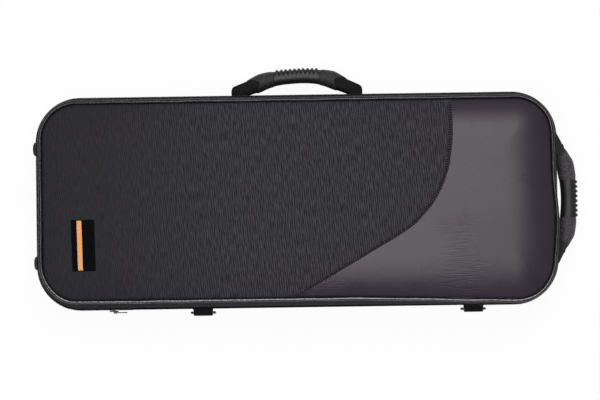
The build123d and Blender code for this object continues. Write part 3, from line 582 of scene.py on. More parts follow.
def finish_of(name):
    """The named material, made at its first use."""
    hues = bpy.context.scene.case_colours
    makers = {
        "ribbed_nylon": (ribbed_nylon, hues.cover, 0.2),
        # The walls take the cover's cloth 5 % darker, as painted shade for walls that the light only grazes, and nearly
        # without gloss.
        "wall_nylon": (ribbed_nylon, rebased(hues.cover, 0.95), 0.03),
        "leatherette": (leatherette, hues.leather),
        "vinyl_piping": (vinyl_piping, hues.piping),
        "zip_tape": (woven_tape, hues.tape, 0.8),
        "webbing": (woven_tape, hues.webbing, 1.4, 0.62, 0.0003),
        # A paler copy of the webbing for the end handle's sleeves: painted light.
        "worn_webbing": (woven_tape, rebased(hues.webbing, 1.7), 1.4, 0.62, 0.0003),
        "nylon_coil": (filament, hues.coil, 0.42, 0.25, 0.15, 0.8),
        "plush_pile": (plush_pile, hues.plush),
        "grip_rubber": (moulded_rubber, rebased(hues.rubber, 0.65), 0.46),
        "pad_rubber": (moulded_rubber, rebased(hues.rubber, 0.9), 0.6, True),
        # A paler copy of the pad rubber for the end handle's pads: painted light.
        "worn_pad_rubber": (moulded_rubber, rebased(hues.rubber, 1.55), 0.6, True),
        "foot_rubber": (moulded_rubber, "#1E1D1F", 0.6),
        "moulded_nylon": (moulded_rubber, "#232225", 0.4),
        "black_zinc": (coated_zinc, "#272629", 0.25, 0.4),
        "nickel_steel": (coated_zinc, "#A5A5A8", 1.0, 0.24),
        "laminated_ply": (laminated_ply,),
        "black_thread": (filament, "#0B0A0C", 0.6, 0.12, 3.0, 0.7),
        "label_ribbon": (woven_tape, "#0E0D10", 0.7, 0.8, 0.00008),
        "orange_ribbon": (dyed_ribbon, hues.stripe),
    }
    if name not in MATERIALS:
        maker, *values = makers[name]
        MATERIALS[name] = maker(name, *values)
    return MATERIALS[name]


def dress(material, *nodes, bevel=0.0):
    """Gives CAD nodes a material, and soft edges where a bevel width in millimetres is given."""
    for name in nodes:
        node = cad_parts[name]
        node.data.materials.clear()
        node.data.materials.append(finish_of(material))
        if bevel:
            node.modifiers.new("weld", "WELD").merge_threshold = 0.00001
            rounding = node.modifiers.new("bevel", "BEVEL")
            rounding.width = bevel * MM
            rounding.segments = 2
            rounding.limit_method = "ANGLE"
            rounding.angle_limit = math.radians(40)
            rounding.harden_normals = False


# Stitches: one small closed shape, repeated


def capsule(length, across, high):
    """A stitch along x: an ellipse whose size follows half a sine along the length, closed by its own small ends."""
    t = np.linspace(0.06, 0.94, 4)
    swell = np.sin(math.pi * t)[:, None] ** 0.5
    angle = circle(5)
    x = np.broadcast_to(((t - 0.5) * length)[:, None], (len(t), len(angle)))
    points = np.stack([x, across / 2 * swell * np.cos(angle), high / 2 * swell * np.sin(angle)], axis=-1)
    return grid(points, around=True, caps=True)[:2]


def axes_along(points, normals):
    """Axes (along, across, outwards) for shapes set along a line of points with those normals."""
    along = unit(np.gradient(points, axis=0))
    across = unit(np.cross(normals, along))
    return np.stack([along, across, np.broadcast_to(normals, points.shape)], axis=1)


def spaced(line, first, step, short=0.0):
    """Points every `step` along a line in the plane, from `first` on to `short` before its end."""
    run = lengths_along(line[:, None])
    at = np.arange(first, run[-1] - short, step)
    return np.stack([np.interp(at, run, v) for v in line.T], axis=1)


def stitch_row(points, normals, length=2.6, across=0.55, high=0.5):
    """A row of stitches along a line."""
    return scatter(*capsule(length, across, high), points, axes_along(points, normals))


def wall_stitches(name, body, way, start, stop, heights, lift):
    """Rows of stitches along the wall at heights over the split, `lift` outside the cover."""
    s = stations(bpy.context.scene.case_sizes.stitch / MM, start, stop) % outline_length()
    _, out = outline(s)
    slope = math.atan(BASE_SLOPE if way < 0 else LID_SLOPE)
    normals = np.concatenate([out * math.cos(slope), np.full((len(s), 1), way * math.sin(slope))], axis=1)
    places = [placed(s, wall_inset(SPLIT + way * up) - lift, SPLIT + way * up) for up in heights]
    build(name, [stitch_row(points, normals) for points in places], "black_thread", body)


# Operators


EDGE = 4.7  # the covers end this far below the front and above the back
BACK_INSIDE = 14.7  # the back cover's edge, inside the zip line
HALF_GAP = 0.15  # between the middle of the split and the cloth on either side
SLIDER_FREE = (-290.0, -212.0)  # the lid's edge stands back from the slider between these x
SLIDER_ROOM = 7.4  # and by this much


def clear_of_slider(s, z):
    """Heights of the lid's cloth at lengths s, with its edge drawn back round the slider."""
    at, _ = outline(s)
    x = np.where(at[..., 1] < 0, at[..., 0], 0.0)
    relief = smooth_step((x - SLIDER_FREE[0] + 4) / 5) * smooth_step((SLIDER_FREE[1] + 4 - x) / 5)
    return np.maximum(z, SPLIT + HALF_GAP + SLIDER_ROOM * relief[:, None])


class CASE_OT_covers(bpy.types.Operator):
    """Woven covers of the base, the lid and the back"""

    bl_idname = "case.covers"
    bl_label = "Covers"

    def execute(self, context):
        s = stations(4.0)
        # Outer face from the rim to the piping, then back up on the inside. The padding swells it a little, and the
        # cloth draws in towards the piping's seam.
        t = np.concatenate([np.linspace(0, 0.9, 14), np.linspace(0.93, 1.0, 4)])
        swell = 0.9 * np.sin(math.pi * np.clip((t - 0.16) / 0.8, 0, 1)) ** 0.8
        pull = 0.5 * smooth_step((t - 0.9) / 0.1)
        for body, way, edge, seed in (("base", -1, EDGE, 3), ("lid", 1, TOP - EDGE, 4)):
            rim = SPLIT + way * HALF_GAP
            z = np.broadcast_to(rim + (edge - rim) * t, (len(s), len(t)))
            if body == "lid":
                z = clear_of_slider(s, z)
            ripple = waves(s, 7, 0.22, seed)[:, None] * smooth_step((t - 0.2) / 0.5)
            inset = np.concatenate([wall_inset(z) - swell + pull + ripple, wall_inset(z[:, ::-1]) + 1.5], axis=1)
            wall = band(s, inset, np.concatenate([z, z[:, ::-1]], axis=1))
            name, node = f"{body}_cover", f"{body}_wall_cover"
            piece = build(name, [wall], "wall_nylon", body, node, slump=body == "lid")

        def under(x, y, inside):
            # Flat where the case lies on it, and drawn up 1.2 mm over the last 5 mm to its seam
            return 1.2 * (1 - smooth_step(inside / 5.0))

        half_x, half_y, radius = (v - BACK_INSIDE for v in case_sizes())
        panel = plate(half_x, half_y, radius, 6.0, under, level(1.95))
        piece = build("back_cover", [panel], "wall_nylon", "base", "back_panel_cover")
        return {"FINISHED"}


FRONT_INSIDE = 13.1  # the front panel's edge, inside the zip line


def front_height(x, y):
    """Height of the front panel's padded surface: it rises steeply out of the piping's groove, then in an easy curve
    over the next 62 mm to a flat middle, and is slightly uneven."""
    sizes = (v - FRONT_INSIDE for v in case_sizes())
    inside = np.maximum(edge_distance(x, y, *sizes), 0)
    dome = bpy.context.scene.case_sizes.dome / MM
    lip = 1.9 * (1 - np.exp(-inside / 0.9))
    rise = 1 - (1 - np.clip(inside / 62, 0, 1)) ** 2.8
    return 161.1 + lip + (dome - 1.0) * rise + 0.12 * noise_2d(x, y, 90.0, 11) * np.clip(inside / 30, 0, 1)


# Points of the seam between cloth and leatherette, from the zip's side to the hinge's
SEAM = np.array(
    [(194.2, 125.0), (194.0, 114.8), (193.4, 104.2), (193.6, 73.3), (188.7, 37.7), (179.4, 11.7), (167.0, -9.7)]
    + [(145.4, -33.1), (122.3, -48.4), (99.8, -61.0), (67.1, -80.7), (33.3, -100.5), (16.5, -109.7), (-2.0, -121.0)]
)


def seam_x(y):
    """Where the seam between cloth and leatherette crosses each height y: measured points, joined and smoothed."""
    fine = np.linspace(SEAM[-1, 1], SEAM[0, 1], 400)
    raw = np.interp(fine, SEAM[::-1, 1], SEAM[::-1, 0])
    kernel = np.hanning(31)
    kernel /= kernel.sum()
    padded = np.concatenate([2 * raw[0] - raw[15:0:-1], raw, 2 * raw[-1] - raw[-2:-17:-1]])
    return np.interp(y, fine, np.convolve(padded, kernel, "valid"))


class CASE_OT_front(bpy.types.Operator):
    """Front panel: ribbed cloth, leatherette, the seam between them and the label"""

    bl_idname = "case.front"
    bl_label = "Front panel"

    def execute(self, context):
        half_x, half_y, radius = (v - FRONT_INSIDE for v in case_sizes())

        def cloth_top(x, y, inside):
            return front_height(x, y)

        def leather_top(x, y, inside):
            # The leatherette lies over the cloth: its edge is turned under and stands 0.7 mm proud.
            return front_height(x, y) + 0.7 * smooth_step((x - seam_x(y)) / 1.6)

        def underside(x, y, inside):
            return front_height(x, y) - 1.8 + 0.4 * smooth_step(inside / 4)

        panel = plate(half_x, half_y, radius, 4.0, underside, cloth_top, right=seam_x)
        piece = build("front_cloth", [panel], "ribbed_nylon", "lid", "front_fabric_panel", slump=True)
        panel = plate(half_x, half_y, radius, 3.0, underside, leather_top, left=seam_x)
        name, slot, node = "front_leatherette", "smooth_leatherette", "front_accent_panel"
        piece = build(name, [panel], "leatherette", "lid", node, slump=True)

        # Whipped stitches over the leatherette's edge, a little askew by turns
        y = np.linspace(1.0 - half_y, half_y - 1.0, 4000)
        y = spaced(np.stack([seam_x(y), y], axis=1), 1.0, 3.1, 1.0)[:, 1]
        x = seam_x(y) - 1.5
        line = np.stack([x, y, front_height(x, y) + 0.3], axis=1)
        along, across, out = np.moveaxis(axes_along(line, UP), 1, 0)
        lean = math.pi / 2 + 0.1 * np.where(np.arange(len(line)) % 2, 1.0, -1.0)[:, None]
        turned = np.cos(lean) * along + np.sin(lean) * across
        row = scatter(*capsule(5.6, 1.6, 1.0), line, np.stack([turned, np.cross(out, turned), out], axis=1))
        build("front_seam_stitches", [row], "black_thread", "lid", slump=True)

        self.label()
        return {"FINISHED"}

    @staticmethod
    def label():
        """Woven label with a plain stripe, tacked down just inside its edge. Nothing is written on it."""
        centre, half = np.array([-266.0, -54.0]), np.array([14.5, 32.0])

        def part(offset, half_size, rounding, rise, sink):
            x0, y0 = centre + (offset, 0.0)

            def top(x, y, inside):
                return front_height(x + x0, y + y0) + rise - 0.35 * (1 - smooth_step(inside / 0.9))

            def under(x, y, inside):
                return front_height(x + x0, y + y0) - sink

            points, faces, uv = plate(*half_size, rounding, 1.5, under, top)
            points = points + (x0, y0, 0.0)
            # Sewn on by hand, 1.2 degrees out of true
            points[:, 0] -= 0.021 * (points[:, 1] - y0)
            return points, faces, uv

        patch = part(0.0, half, 1.2, 0.9, 0.1)
        build("label_woven", [patch], "label_ribbon", "lid", "label_patch")
        stripe = part(-4.4, (3.3, 31.4), 0.3, 1.15, -0.5)
        build("label_orange_stripe", [stripe], "orange_ribbon", "lid", "label_stripe")
        w, h = half - 1.1
        x, y = (spaced(np.array([(-w, -h), (w, -h), (w, h), (-w, h), (-w, -h)]), 0.8, 2.2) + centre).T
        line = np.stack([x, y, front_height(x, y) + 1.0], axis=1)
        build("label_stitches", [stitch_row(line, UP, 1.5, 0.35, 0.3)], "black_thread", "lid")


# Flanges of the piping cords, as (inset, height): from under the cord to below the panel's edge
FRONT_FLANGE = [(11.4, 159.6), (12.5, 160.8), (14.0, 161.0), (14.0, 160.4), (12.5, 160.3), (11.4, 159.2)]
BACK_FLANGE = [(13.3, 3.6), (14.6, 2.5), (16.0, 2.0), (16.0, 1.6), (14.6, 2.0), (13.3, 3.1)]


class CASE_OT_piping(bpy.types.Operator):
    """Piping cords round the front and back edges"""

    bl_idname = "case.piping"
    bl_label = "Piping"

    def execute(self, context):
        radius = context.scene.case_sizes.piping / MM
        s = stations(3.0)
        angle = circle(16)
        for body, name, inside, z, sway, seed, flange in (
            ("lid", "front_piping", 10.6, TOP - radius, 0.34, 21, FRONT_FLANGE),
            ("base", "back_piping", 12.3, radius, 0.2, 22, BACK_FLANGE),
        ):
            # A circle carried round the case, which wanders in and out, and swells and thins every third row, 9 mm.
            wander = waves(s, 8, sway, seed)[:, None]
            thick = radius * (1 + 0.05 * np.sin(2 * math.pi * np.arange(len(s)) / 3))[:, None]
            height = z + np.minimum(thick * np.sin(angle), 0.99 * radius)
            if body == "lid":
                height = height + waves(s, 6, 0.5 * sway, seed + 5)[:, None]
            else:
                height = np.maximum(height, 0.02)
            cord = band(s, inside + wander + thick * np.cos(angle), height)
            parts = [cord, band(s, *np.array(flange).T)]
            build(f"{name}_cord", parts, "vinyl_piping", body, name, slump=body == "lid")
        return {"FINISHED"}


ZIP_END = 226.0  # the zip's teeth end here on the hinge wall
TAPE_WIDTH = 12.0


class CASE_OT_zip(bpy.types.Operator):
    """Zip: tapes, coils, their seams, the end tabs and the slider"""

    bl_idname = "case.zip"
    bl_label = "Zip"

    def execute(self, context):
        start, stop = ZIP_END, outline_length() - ZIP_END
        s = stations(4.0, start, stop)
        for body, way in SIDES:
            # Tape: a thin loop on the cover's outside, from the split to its sewn edge
            up = np.array([HALF_GAP, HALF_GAP, 4, 8, TAPE_WIDTH - 0.3, TAPE_WIDTH, TAPE_WIDTH, HALF_GAP + 4])
            out = np.array([0.05, 0.66, 0.7, 0.68, 0.6, 0.3, 0.03, 0.03])
            z = SPLIT + way * up
            if body == "lid":
                z = clear_of_slider(s, z)
            tape = band(s, wall_inset(z) - out, z, closed=False, caps=True)
            piece = build(f"zip_tape_{body}", [tape], "zip_tape", body, f"zipper_tape_{body}")
            wall_stitches(f"zip_seam_{body}", body, way, start + 2, stop - 2, (8.4, 10.6), 0.72)
            self.coil(body, way, start, stop)
        self.end_tabs()
        dress("black_zinc", "zip_slider", "zip_pull", bevel=0.25)
        return {"FINISHED"}

    @staticmethod
    def coil(body, way, start, stop):
        """Turns of the coil: each is a small arch from the tape out over the chain and back, in the plane square to
        the zip, drawn as a tube of five sides along a half ellipse."""
        pitch = bpy.context.scene.case_sizes.tooth_pitch / MM
        s = np.arange(start + 0.6, stop - 0.6, pitch)
        if body == "lid":
            # The lid's turns lie between the base's, and none lies under the slider
            s = np.arange(start + 0.6 + pitch / 2, stop - 0.6, pitch)
            from_end = s - outline_length()
            s = s[(from_end < SLIDER_FREE[0]) | (from_end > SLIDER_FREE[1])]
        bend = np.linspace(0, math.pi, 7)
        # Local axes: x along the zip, y away from the split, z outwards
        arch = np.stack([np.linspace(-0.35, 0.35, 7), 1.5 - 1.15 * np.cos(bend), 0.78 * np.sin(bend)], axis=1)
        radial = np.stack([np.zeros(7), -np.cos(bend), np.sin(bend)], axis=1)
        turn = tube(arch, 0.34, radial, ALONG, 5)
        turn[..., 1] = np.maximum(turn[..., 1], 0.02)
        turn[..., 2] = np.clip(turn[..., 2], -0.2, 1.0)
        shape, faces, _ = grid(turn, around=True, caps=True)
        origins = placed(s, ZIP_PROUD - 0.55, SPLIT + way * 0.16)
        out = np.pad(outline(s)[1], ((0, 0), (0, 1)))
        axes = np.stack([np.cross(UP, out), np.broadcast_to(way * UP, out.shape), out], axis=1)
        teeth = scatter(shape, faces, origins, axes)
        build(f"zip_coil_{body}", [teeth], "nylon_coil", body, f"zipper_teeth_{body}")

    @staticmethod
    def end_tabs():
        """Webbing tabs sewn over the ends of the zip, one at each end of the hinge."""
        z = np.array([94.8, 94.4, 92, 88, 84, 83.1, 83.1, 94.8])
        inset = wall_inset(z) - np.array([0.9, 1.35, 1.4, 1.4, 1.3, 1.0, 0.02, 0.02])
        runs = [stations(1.5, start, start + 17.0) % outline_length() for start in (-226.5, 209.5)]
        tabs = [band(s, inset, z, closed=False, caps=True) for s in runs]
        build("zip_end_tabs", tabs, "webbing", "base", "zipper_end_tabs")


class CASE_OT_hinge(bpy.types.Operator):
    """Cloth hinge along the long wall"""

    bl_idname = "case.hinge"
    bl_label = "Cloth hinge"

    def execute(self, context):
        x = np.linspace(-210.0, 210.0, 106)
        z = np.concatenate([np.linspace(83, 91, 6), np.linspace(91.5, 98.5, 15), np.linspace(99, 107, 6)])
        # The walls' own lean with a soft fold outwards over the split, then the tape's outer and inner face
        fold = wall_inset(z) - 0.1 * np.exp(-(((z - SPLIT) / 1.6) ** 2))
        inset = np.concatenate([fold - 0.85, fold[::-1] - 0.05])
        z = np.concatenate([z, z[::-1]])
        gather = 0.06 * np.sin(2 * math.pi * x / 7.0)[:, None] * np.exp(-(((z - SPLIT) / 4.0) ** 2))
        _, half_y, _ = case_sizes()
        points = np.stack(np.broadcast_arrays(x[:, None], inset - half_y - gather, z), axis=-1)
        nodes = ("hinge_tape_base", "hinge_tape_lid")
        piece = build("cloth_hinge", [grid(points, around=True, caps=True)], "zip_tape", None, nodes)
        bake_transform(piece)
        for body, way in SIDES:
            wall_stitches(f"hinge_seam_{body}", body, way, -207.0, 207.0, (8.2, 10.6), 0.86)
        return {"FINISHED"}


# Recesses of the cradle
CRADLE_TOP = 92.5
CRADLE_FLOOR = 9.1
AXIS_Z = 84.0  # height of the instrument's axes
BODY_Y = -50.0  # its body lies on this line, and its bell as far to the other side
BODY_END = 285.0  # x
BOW_X = -195.0
BOW_RADIUS = 42.0
NECK = np.array([(100.0, 84.0), (190.0, 98.0), (280.0, 62.0)])  # the neck's pocket follows an arc through these
NECK_HALF = 17.0


def hollowed(top, where, floor):
    """The height map with a recess down to the floor."""
    return np.where(where, np.minimum(top, floor), top)


def round_floor(from_axis, radius):
    """Floor of a half-round trough at a distance from its axis."""
    return AXIS_Z - np.sqrt(np.maximum(radius**2 - from_axis**2, 0))


def cradle_height(x, y):
    """Top of the foam: the lowest of its flat top, the instrument's own round recesses, the shelf under the keys and
    the pockets."""
    top = np.full_like(x, CRADLE_TOP)
    # The body's trough is a cone and the bell's flares: radii as polynomials of the share of their length
    for axis_y, end, flare in ((BODY_Y, BODY_END, (-18, BOW_RADIUS)), (-BODY_Y, 60.0, (18, 0, 4, BOW_RADIUS))):
        radius = np.polyval(flare, np.clip((x - BOW_X) / (end - BOW_X), 0, 1))
        beside = np.abs(y - axis_y)
        top = hollowed(top, (beside < radius) & (x > BOW_X) & (x < end), round_floor(beside, radius))
    # Bow: a ring about the point between body and bell, left of it
    ring = np.abs(np.hypot(x - BOW_X, y) - abs(BODY_Y))
    top = hollowed(top, (x <= BOW_X) & (ring < BOW_RADIUS), round_floor(ring, BOW_RADIUS))
    shelf = (x > BOW_X) & (x < BODY_END) & (np.abs(y - BODY_Y) < np.interp(x, [BOW_X, BODY_END], [54, 39]))
    top = hollowed(top, shelf, 56.0)
    # Pockets: the neck's, from the middle of the arc through its three points, and two rounded rectangles
    x0, y0 = np.linalg.solve(2 * (NECK[1:] - NECK[0]), (NECK[1:] ** 2 - NECK[0] ** 2).sum(axis=1))
    off_arc = np.abs(np.hypot(x - x0, y - y0) - math.dist(NECK[0], (x0, y0)))
    pocket = (off_arc < NECK_HALF) & (x > NECK[0, 0]) & (x < NECK[2, 0]) & (y > 20)
    for end_x, end_y in NECK[::2]:
        pocket |= np.hypot(x - end_x, y - end_y) < NECK_HALF
    for middle_x, middle_y, half_x, half_y in ((128, 36, 46, 19), (226, 27, 42, 22)):
        pocket |= edge_distance(x - middle_x, y - middle_y, half_x, half_y, 12.0) > 0
    return hollowed(top, pocket, 48.0)


def softened(height, times):
    """Rounds the edges of a height map: each pass averages every point with its neighbours."""
    for _ in range(times):
        wide = np.pad(height, 1, mode="edge")
        height = (4 * height + wide[:-2, 1:-1] + wide[2:, 1:-1] + wide[1:-1, :-2] + wide[1:-1, 2:]) / 8
    return height


class CASE_OT_cradle(bpy.types.Operator):
    """Plush foam cradle shaped for the instrument, and the strap over it"""

    bl_idname = "case.cradle"
    bl_label = "Cradle"

    def execute(self, context):
        half_x, half_y, radius = (v - wall_inset(CRADLE_TOP) - 8.75 for v in case_sizes())

        def top(x, y, inside):
            rounding = 2.0 * (1 - smooth_step(inside / 4.0))
            return softened(cradle_height(x, y), 3) - rounding + 0.12 * noise_2d(x, y, 14.0, 31)

        points, faces, uv = plate(half_x, half_y, radius, 2.3, level(CRADLE_FLOOR), top)
        # The foam's sides lean in with the walls: its underside is drawn in by the walls' own slope.
        low = points[:, 2] < CRADLE_FLOOR + 0.4
        shrink = (CRADLE_TOP - 9.0) * BASE_SLOPE
        points[low, 0] *= (half_x - shrink) / half_x
        points[low, 1] *= (half_y - shrink) / half_y
        part = (points, faces, uv)
        piece = build("cradle_plush", [part], "plush_pile", "base", "cradle_foam", sharp=75.0)

        def line(y, z):
            return np.stack([np.zeros_like(y), y + BODY_Y, np.broadcast_to(z, y.shape)], axis=1)

        # The strap sags a little between its ends, which are sewn down through a second layer, 20 mm long
        y = np.linspace(-66.0, 66.0, 45)
        layers = [strap(line(y, 93.5 - 1.6 * np.cos(math.pi * y / 132.0) ** 2), 38.0, 1.4)]
        layers += [strap(line(np.linspace(44.0, 64.0, 8) * side, 94.15), 36.0, 0.5) for side in (-1, 1)]
        build("instrument_strap", layers, ("webbing", "zip_tape"), "base", "retaining_strap")
        return {"FINISHED"}


class CASE_OT_lid_inside(bpy.types.Operator):
    """Plush lining of the lid and its pressure pad"""

    bl_idname = "case.lid_inside"
    bl_label = "Lid lining"

    def execute(self, context):
        s = stations(5.0)
        # Wall lining: inner face from the rim up, rounding over into the ceiling, and back along the shell
        high, deep, bend = 143.0, 13.55, 7.0
        turn = np.linspace(0.15, math.pi / 2, 8)
        z = np.concatenate([[96.2, 95.6, 95.4, 95.7], np.linspace(97.4, high, 12), high + bend * np.sin(turn)])
        depth = np.concatenate([[8.7, 9.3, 11.2, 13.3], np.full(12, deep), deep + bend * (1 - np.cos(turn))])
        inset = wall_inset(z) + depth
        edge = inset[-1]
        z = np.append(z, [150.4, 154.8, 154.8])
        inset = np.append(inset, [edge + 6, edge + 6, wall_inset(154.8) + 8.7])
        ripple = waves(s, 6, 0.25, 41)[:, None] * np.clip(1 - np.abs(z - 122) / 26, 0, 1)
        wall = band(s, inset + ripple, z)

        def under(x, y, inside):
            return 150.2 - 0.2 * noise_2d(x, y, 60.0, 42) * np.clip(inside / 20, 0, 1)

        half_x, half_y, radius = (v - edge + 3 for v in case_sizes())
        roof = plate(half_x, half_y, max(radius, 8.0), 6.0, under, level(154.7))
        piece = build("lid_plush_lining", [wall, roof], "plush_pile", "lid", "lid_liner")

        # Pressure pad: a crowned cushion whose sides pull in between its corners, swollen by its stuffing
        def crown(x, y, inside):
            return 146.5 - 6.0 * (1 - (1 - np.clip(inside / 30.0, 0, 1)) ** 2.4)

        length = 179.0
        points, faces, uv = plate(length, 41.0, 28.0, 3.2, crown, level(150.0))
        points[:, 1] *= 1 - 0.035 * np.cos(math.pi * points[:, 0] / length / 2) ** 2
        points += (10.0, BODY_Y, 0.0)
        piece = build("lid_pressure_cushion", [(points, faces, uv)], "plush_pile", sharp=80.0)
        puffed(piece, 4.0, 4.5, lambda at: at[:, 2] > 149.0)
        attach(piece, "lid")
        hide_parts("lid_pressure_pad")
        return {"FINISHED"}


# Handles. `outer` and `inner` are the side lines from the middle to a foot, as (way along, height over the wall) at the
# knots below, and the legs go on from there to the barrel. `rib_side` is how far round the ribs run, as a cosine,
# `pad_edge` where the pads end, from the outer side round to the inner, and `droop` how far the left half hangs.
HANDLES = {
    "top_handle": {
        "origin": (2.0, 128.766, 50.0),
        "run": (1.0, 0.0, 0.0),
        "face": (0.0, 1.0),
        "outer": [(0, 41.9), (10.3, 41.9), (20.7, 41.7), (31, 41.2)]
        + [(42.5, 39.9), (48, 38.6), (56.5, 34), (64.6, 29)],
        "inner": [(0, 24.4), (9.8, 24.3), (19.6, 23.8), (29.2, 22.2)]
        + [(38.7, 19.4), (44.2, 17), (53.8, 13.4), (62.5, 10)],
        "leg": [(64.8, 28.9), (70.0, 26.5), (76.0, 23.6), (80.6, 21.4), (82.9, 19.2), (83.9, 15.5)],
        "leg_inner": [(63.4, 9.6), (68.0, 7.6), (75.0, 6.9), (80.4, 6.7), (82.7, 6.9), (83.8, 7.6)],
        "ribs": 10,
        "pitch": 5.45,
        "rib_side": 0.1,
        "pad_start": 29.0,
        "pad_edge": [64.2, 63.6, 49.0, 48.6, 53.0, 53.4],
        "droop": 2.4,
    },
    "end_handle": {
        "origin": (323.766, 0.0, 50.0),
        "run": (0.0, -1.0, 0.0),
        "face": (1.0, 0.0),
        "outer": [(0, 33.9), (10.3, 33.9), (20.7, 33.8), (31, 33.1)]
        + [(42.7, 31.3), (47.7, 30.1), (55.5, 25.5), (63, 21.1)],
        "inner": [(0, 14.4), (9.8, 14.1), (19.6, 13.2), (29.3, 11.9)]
        + [(39, 10.3), (44.6, 9.5), (53.5, 8.5), (60.8, 7.8)],
        "leg": [(63.4, 20.7), (69.0, 17.6), (75.0, 14.3), (80.0, 11.6), (82.8, 10.0), (83.9, 8.8)],
        "leg_inner": [(61.0, 7.2), (67.0, 6.9), (75.0, 6.8), (80.4, 6.8), (82.7, 6.9), (83.8, 7.2)],
        "ribs": 8,
        "pitch": 5.9,
        "rib_side": 0.5,
        "pad_start": 23.5,
        "pad_edge": [64.2, 63.6, 59.0, 57.0, 55.0, 55.0],
        "droop": 0.0,
    },
}
KNOTS = np.array([0.0, 10, 20, 30, 41, 46.5, 56, 64.6])
HALF_WIDTHS = [9.5, 9.5, 9.5, 9.6, 11.6, 12.0, 11.8, 11.4]
LEG_KNOTS = np.array([41.0, 46.5, 56.0, 64.0, 66.0, 70.0, 76.0, 80.5, 83.0, 84.0])
LEG_HALF_WIDTHS = [11.2, 11.6, 11.5, 11.4, 11.4, 11.4, 11.3, 11.0, 10.2, 8.6]
GRIP_SQUARE = 2.15  # powers of the superellipses across a handle, 2 for round
SLEEVE_SQUARE = 3.2
BARREL_HALF = 4.7  # half the sleeve's width on the barrel that stands in for its fold


def handle_axes(handle):
    """The handle's run along the wall, its way out of the wall, and across."""
    lean = math.atan(BASE_SLOPE)
    out = np.array([*(v * math.cos(lean) for v in handle["face"]), -math.sin(lean)])
    run = np.array(handle["run"])
    return run, out, np.cross(run, out)


def spread_line(points, at):
    """A line through points at the knots, read at other places with a smooth cubic between them."""
    points = np.array(points, float)
    slope = np.gradient(points, KNOTS, axis=0)
    k = np.clip(np.searchsorted(KNOTS, at, side="right") - 1, 0, len(KNOTS) - 2)
    h = (KNOTS[k + 1] - KNOTS[k])[:, None]
    t = (at - KNOTS[k])[:, None] / h
    a, b, sa, sb = points[k], points[k + 1], slope[k] * h, slope[k + 1] * h
    return (2 * t**3 - 3 * t**2 + 1) * a + (t**3 - 2 * t**2 + t) * sa + (3 * t**2 - 2 * t**3) * b + (t**3 - t**2) * sb


def side_lines(handle, at):
    """Outer and inner line and half width at signed stations: the foot at minus mirrors the one at plus."""
    flip = np.stack([np.where(at < 0, -1.0, 1.0), np.ones(len(at))], axis=1)
    outer, inner = (spread_line(handle[key], np.abs(at)) * flip for key in ("outer", "inner"))
    return outer, inner, np.interp(np.abs(at), KNOTS, HALF_WIDTHS)


def handle_section(handle, outer, inner, half_width, angle, square, sink=0.0):
    """Rings between the outer and inner side lines: each ring is a superellipse across their chord. Angle 0 is the
    outer side. `sink` makes every ring smaller by that many millimetres."""
    run, out, across = handle_axes(handle)
    reach = (outer - inner) / 2
    size = np.linalg.norm(reach, axis=1, keepdims=True)
    reach = reach * (size - sink) / size
    outwards = signed_power(np.cos(angle), 2 / square)
    flat = ((outer + inner) / 2)[:, None] + reach[:, None] * outwards[:, None]
    # A handle's left half hangs lower where it droops, most at its pad, 48 mm from the middle
    flat[..., 1] -= handle["droop"] * np.interp(flat[..., 0], [-84, -48, -20, 5], [0, 1, 0.6, 0])
    side = (half_width - sink)[:, None] * signed_power(np.sin(angle), 2 / square)
    return np.array(handle["origin"]) + flat[..., :1] * run + flat[..., 1:] * out + side[..., None] * across


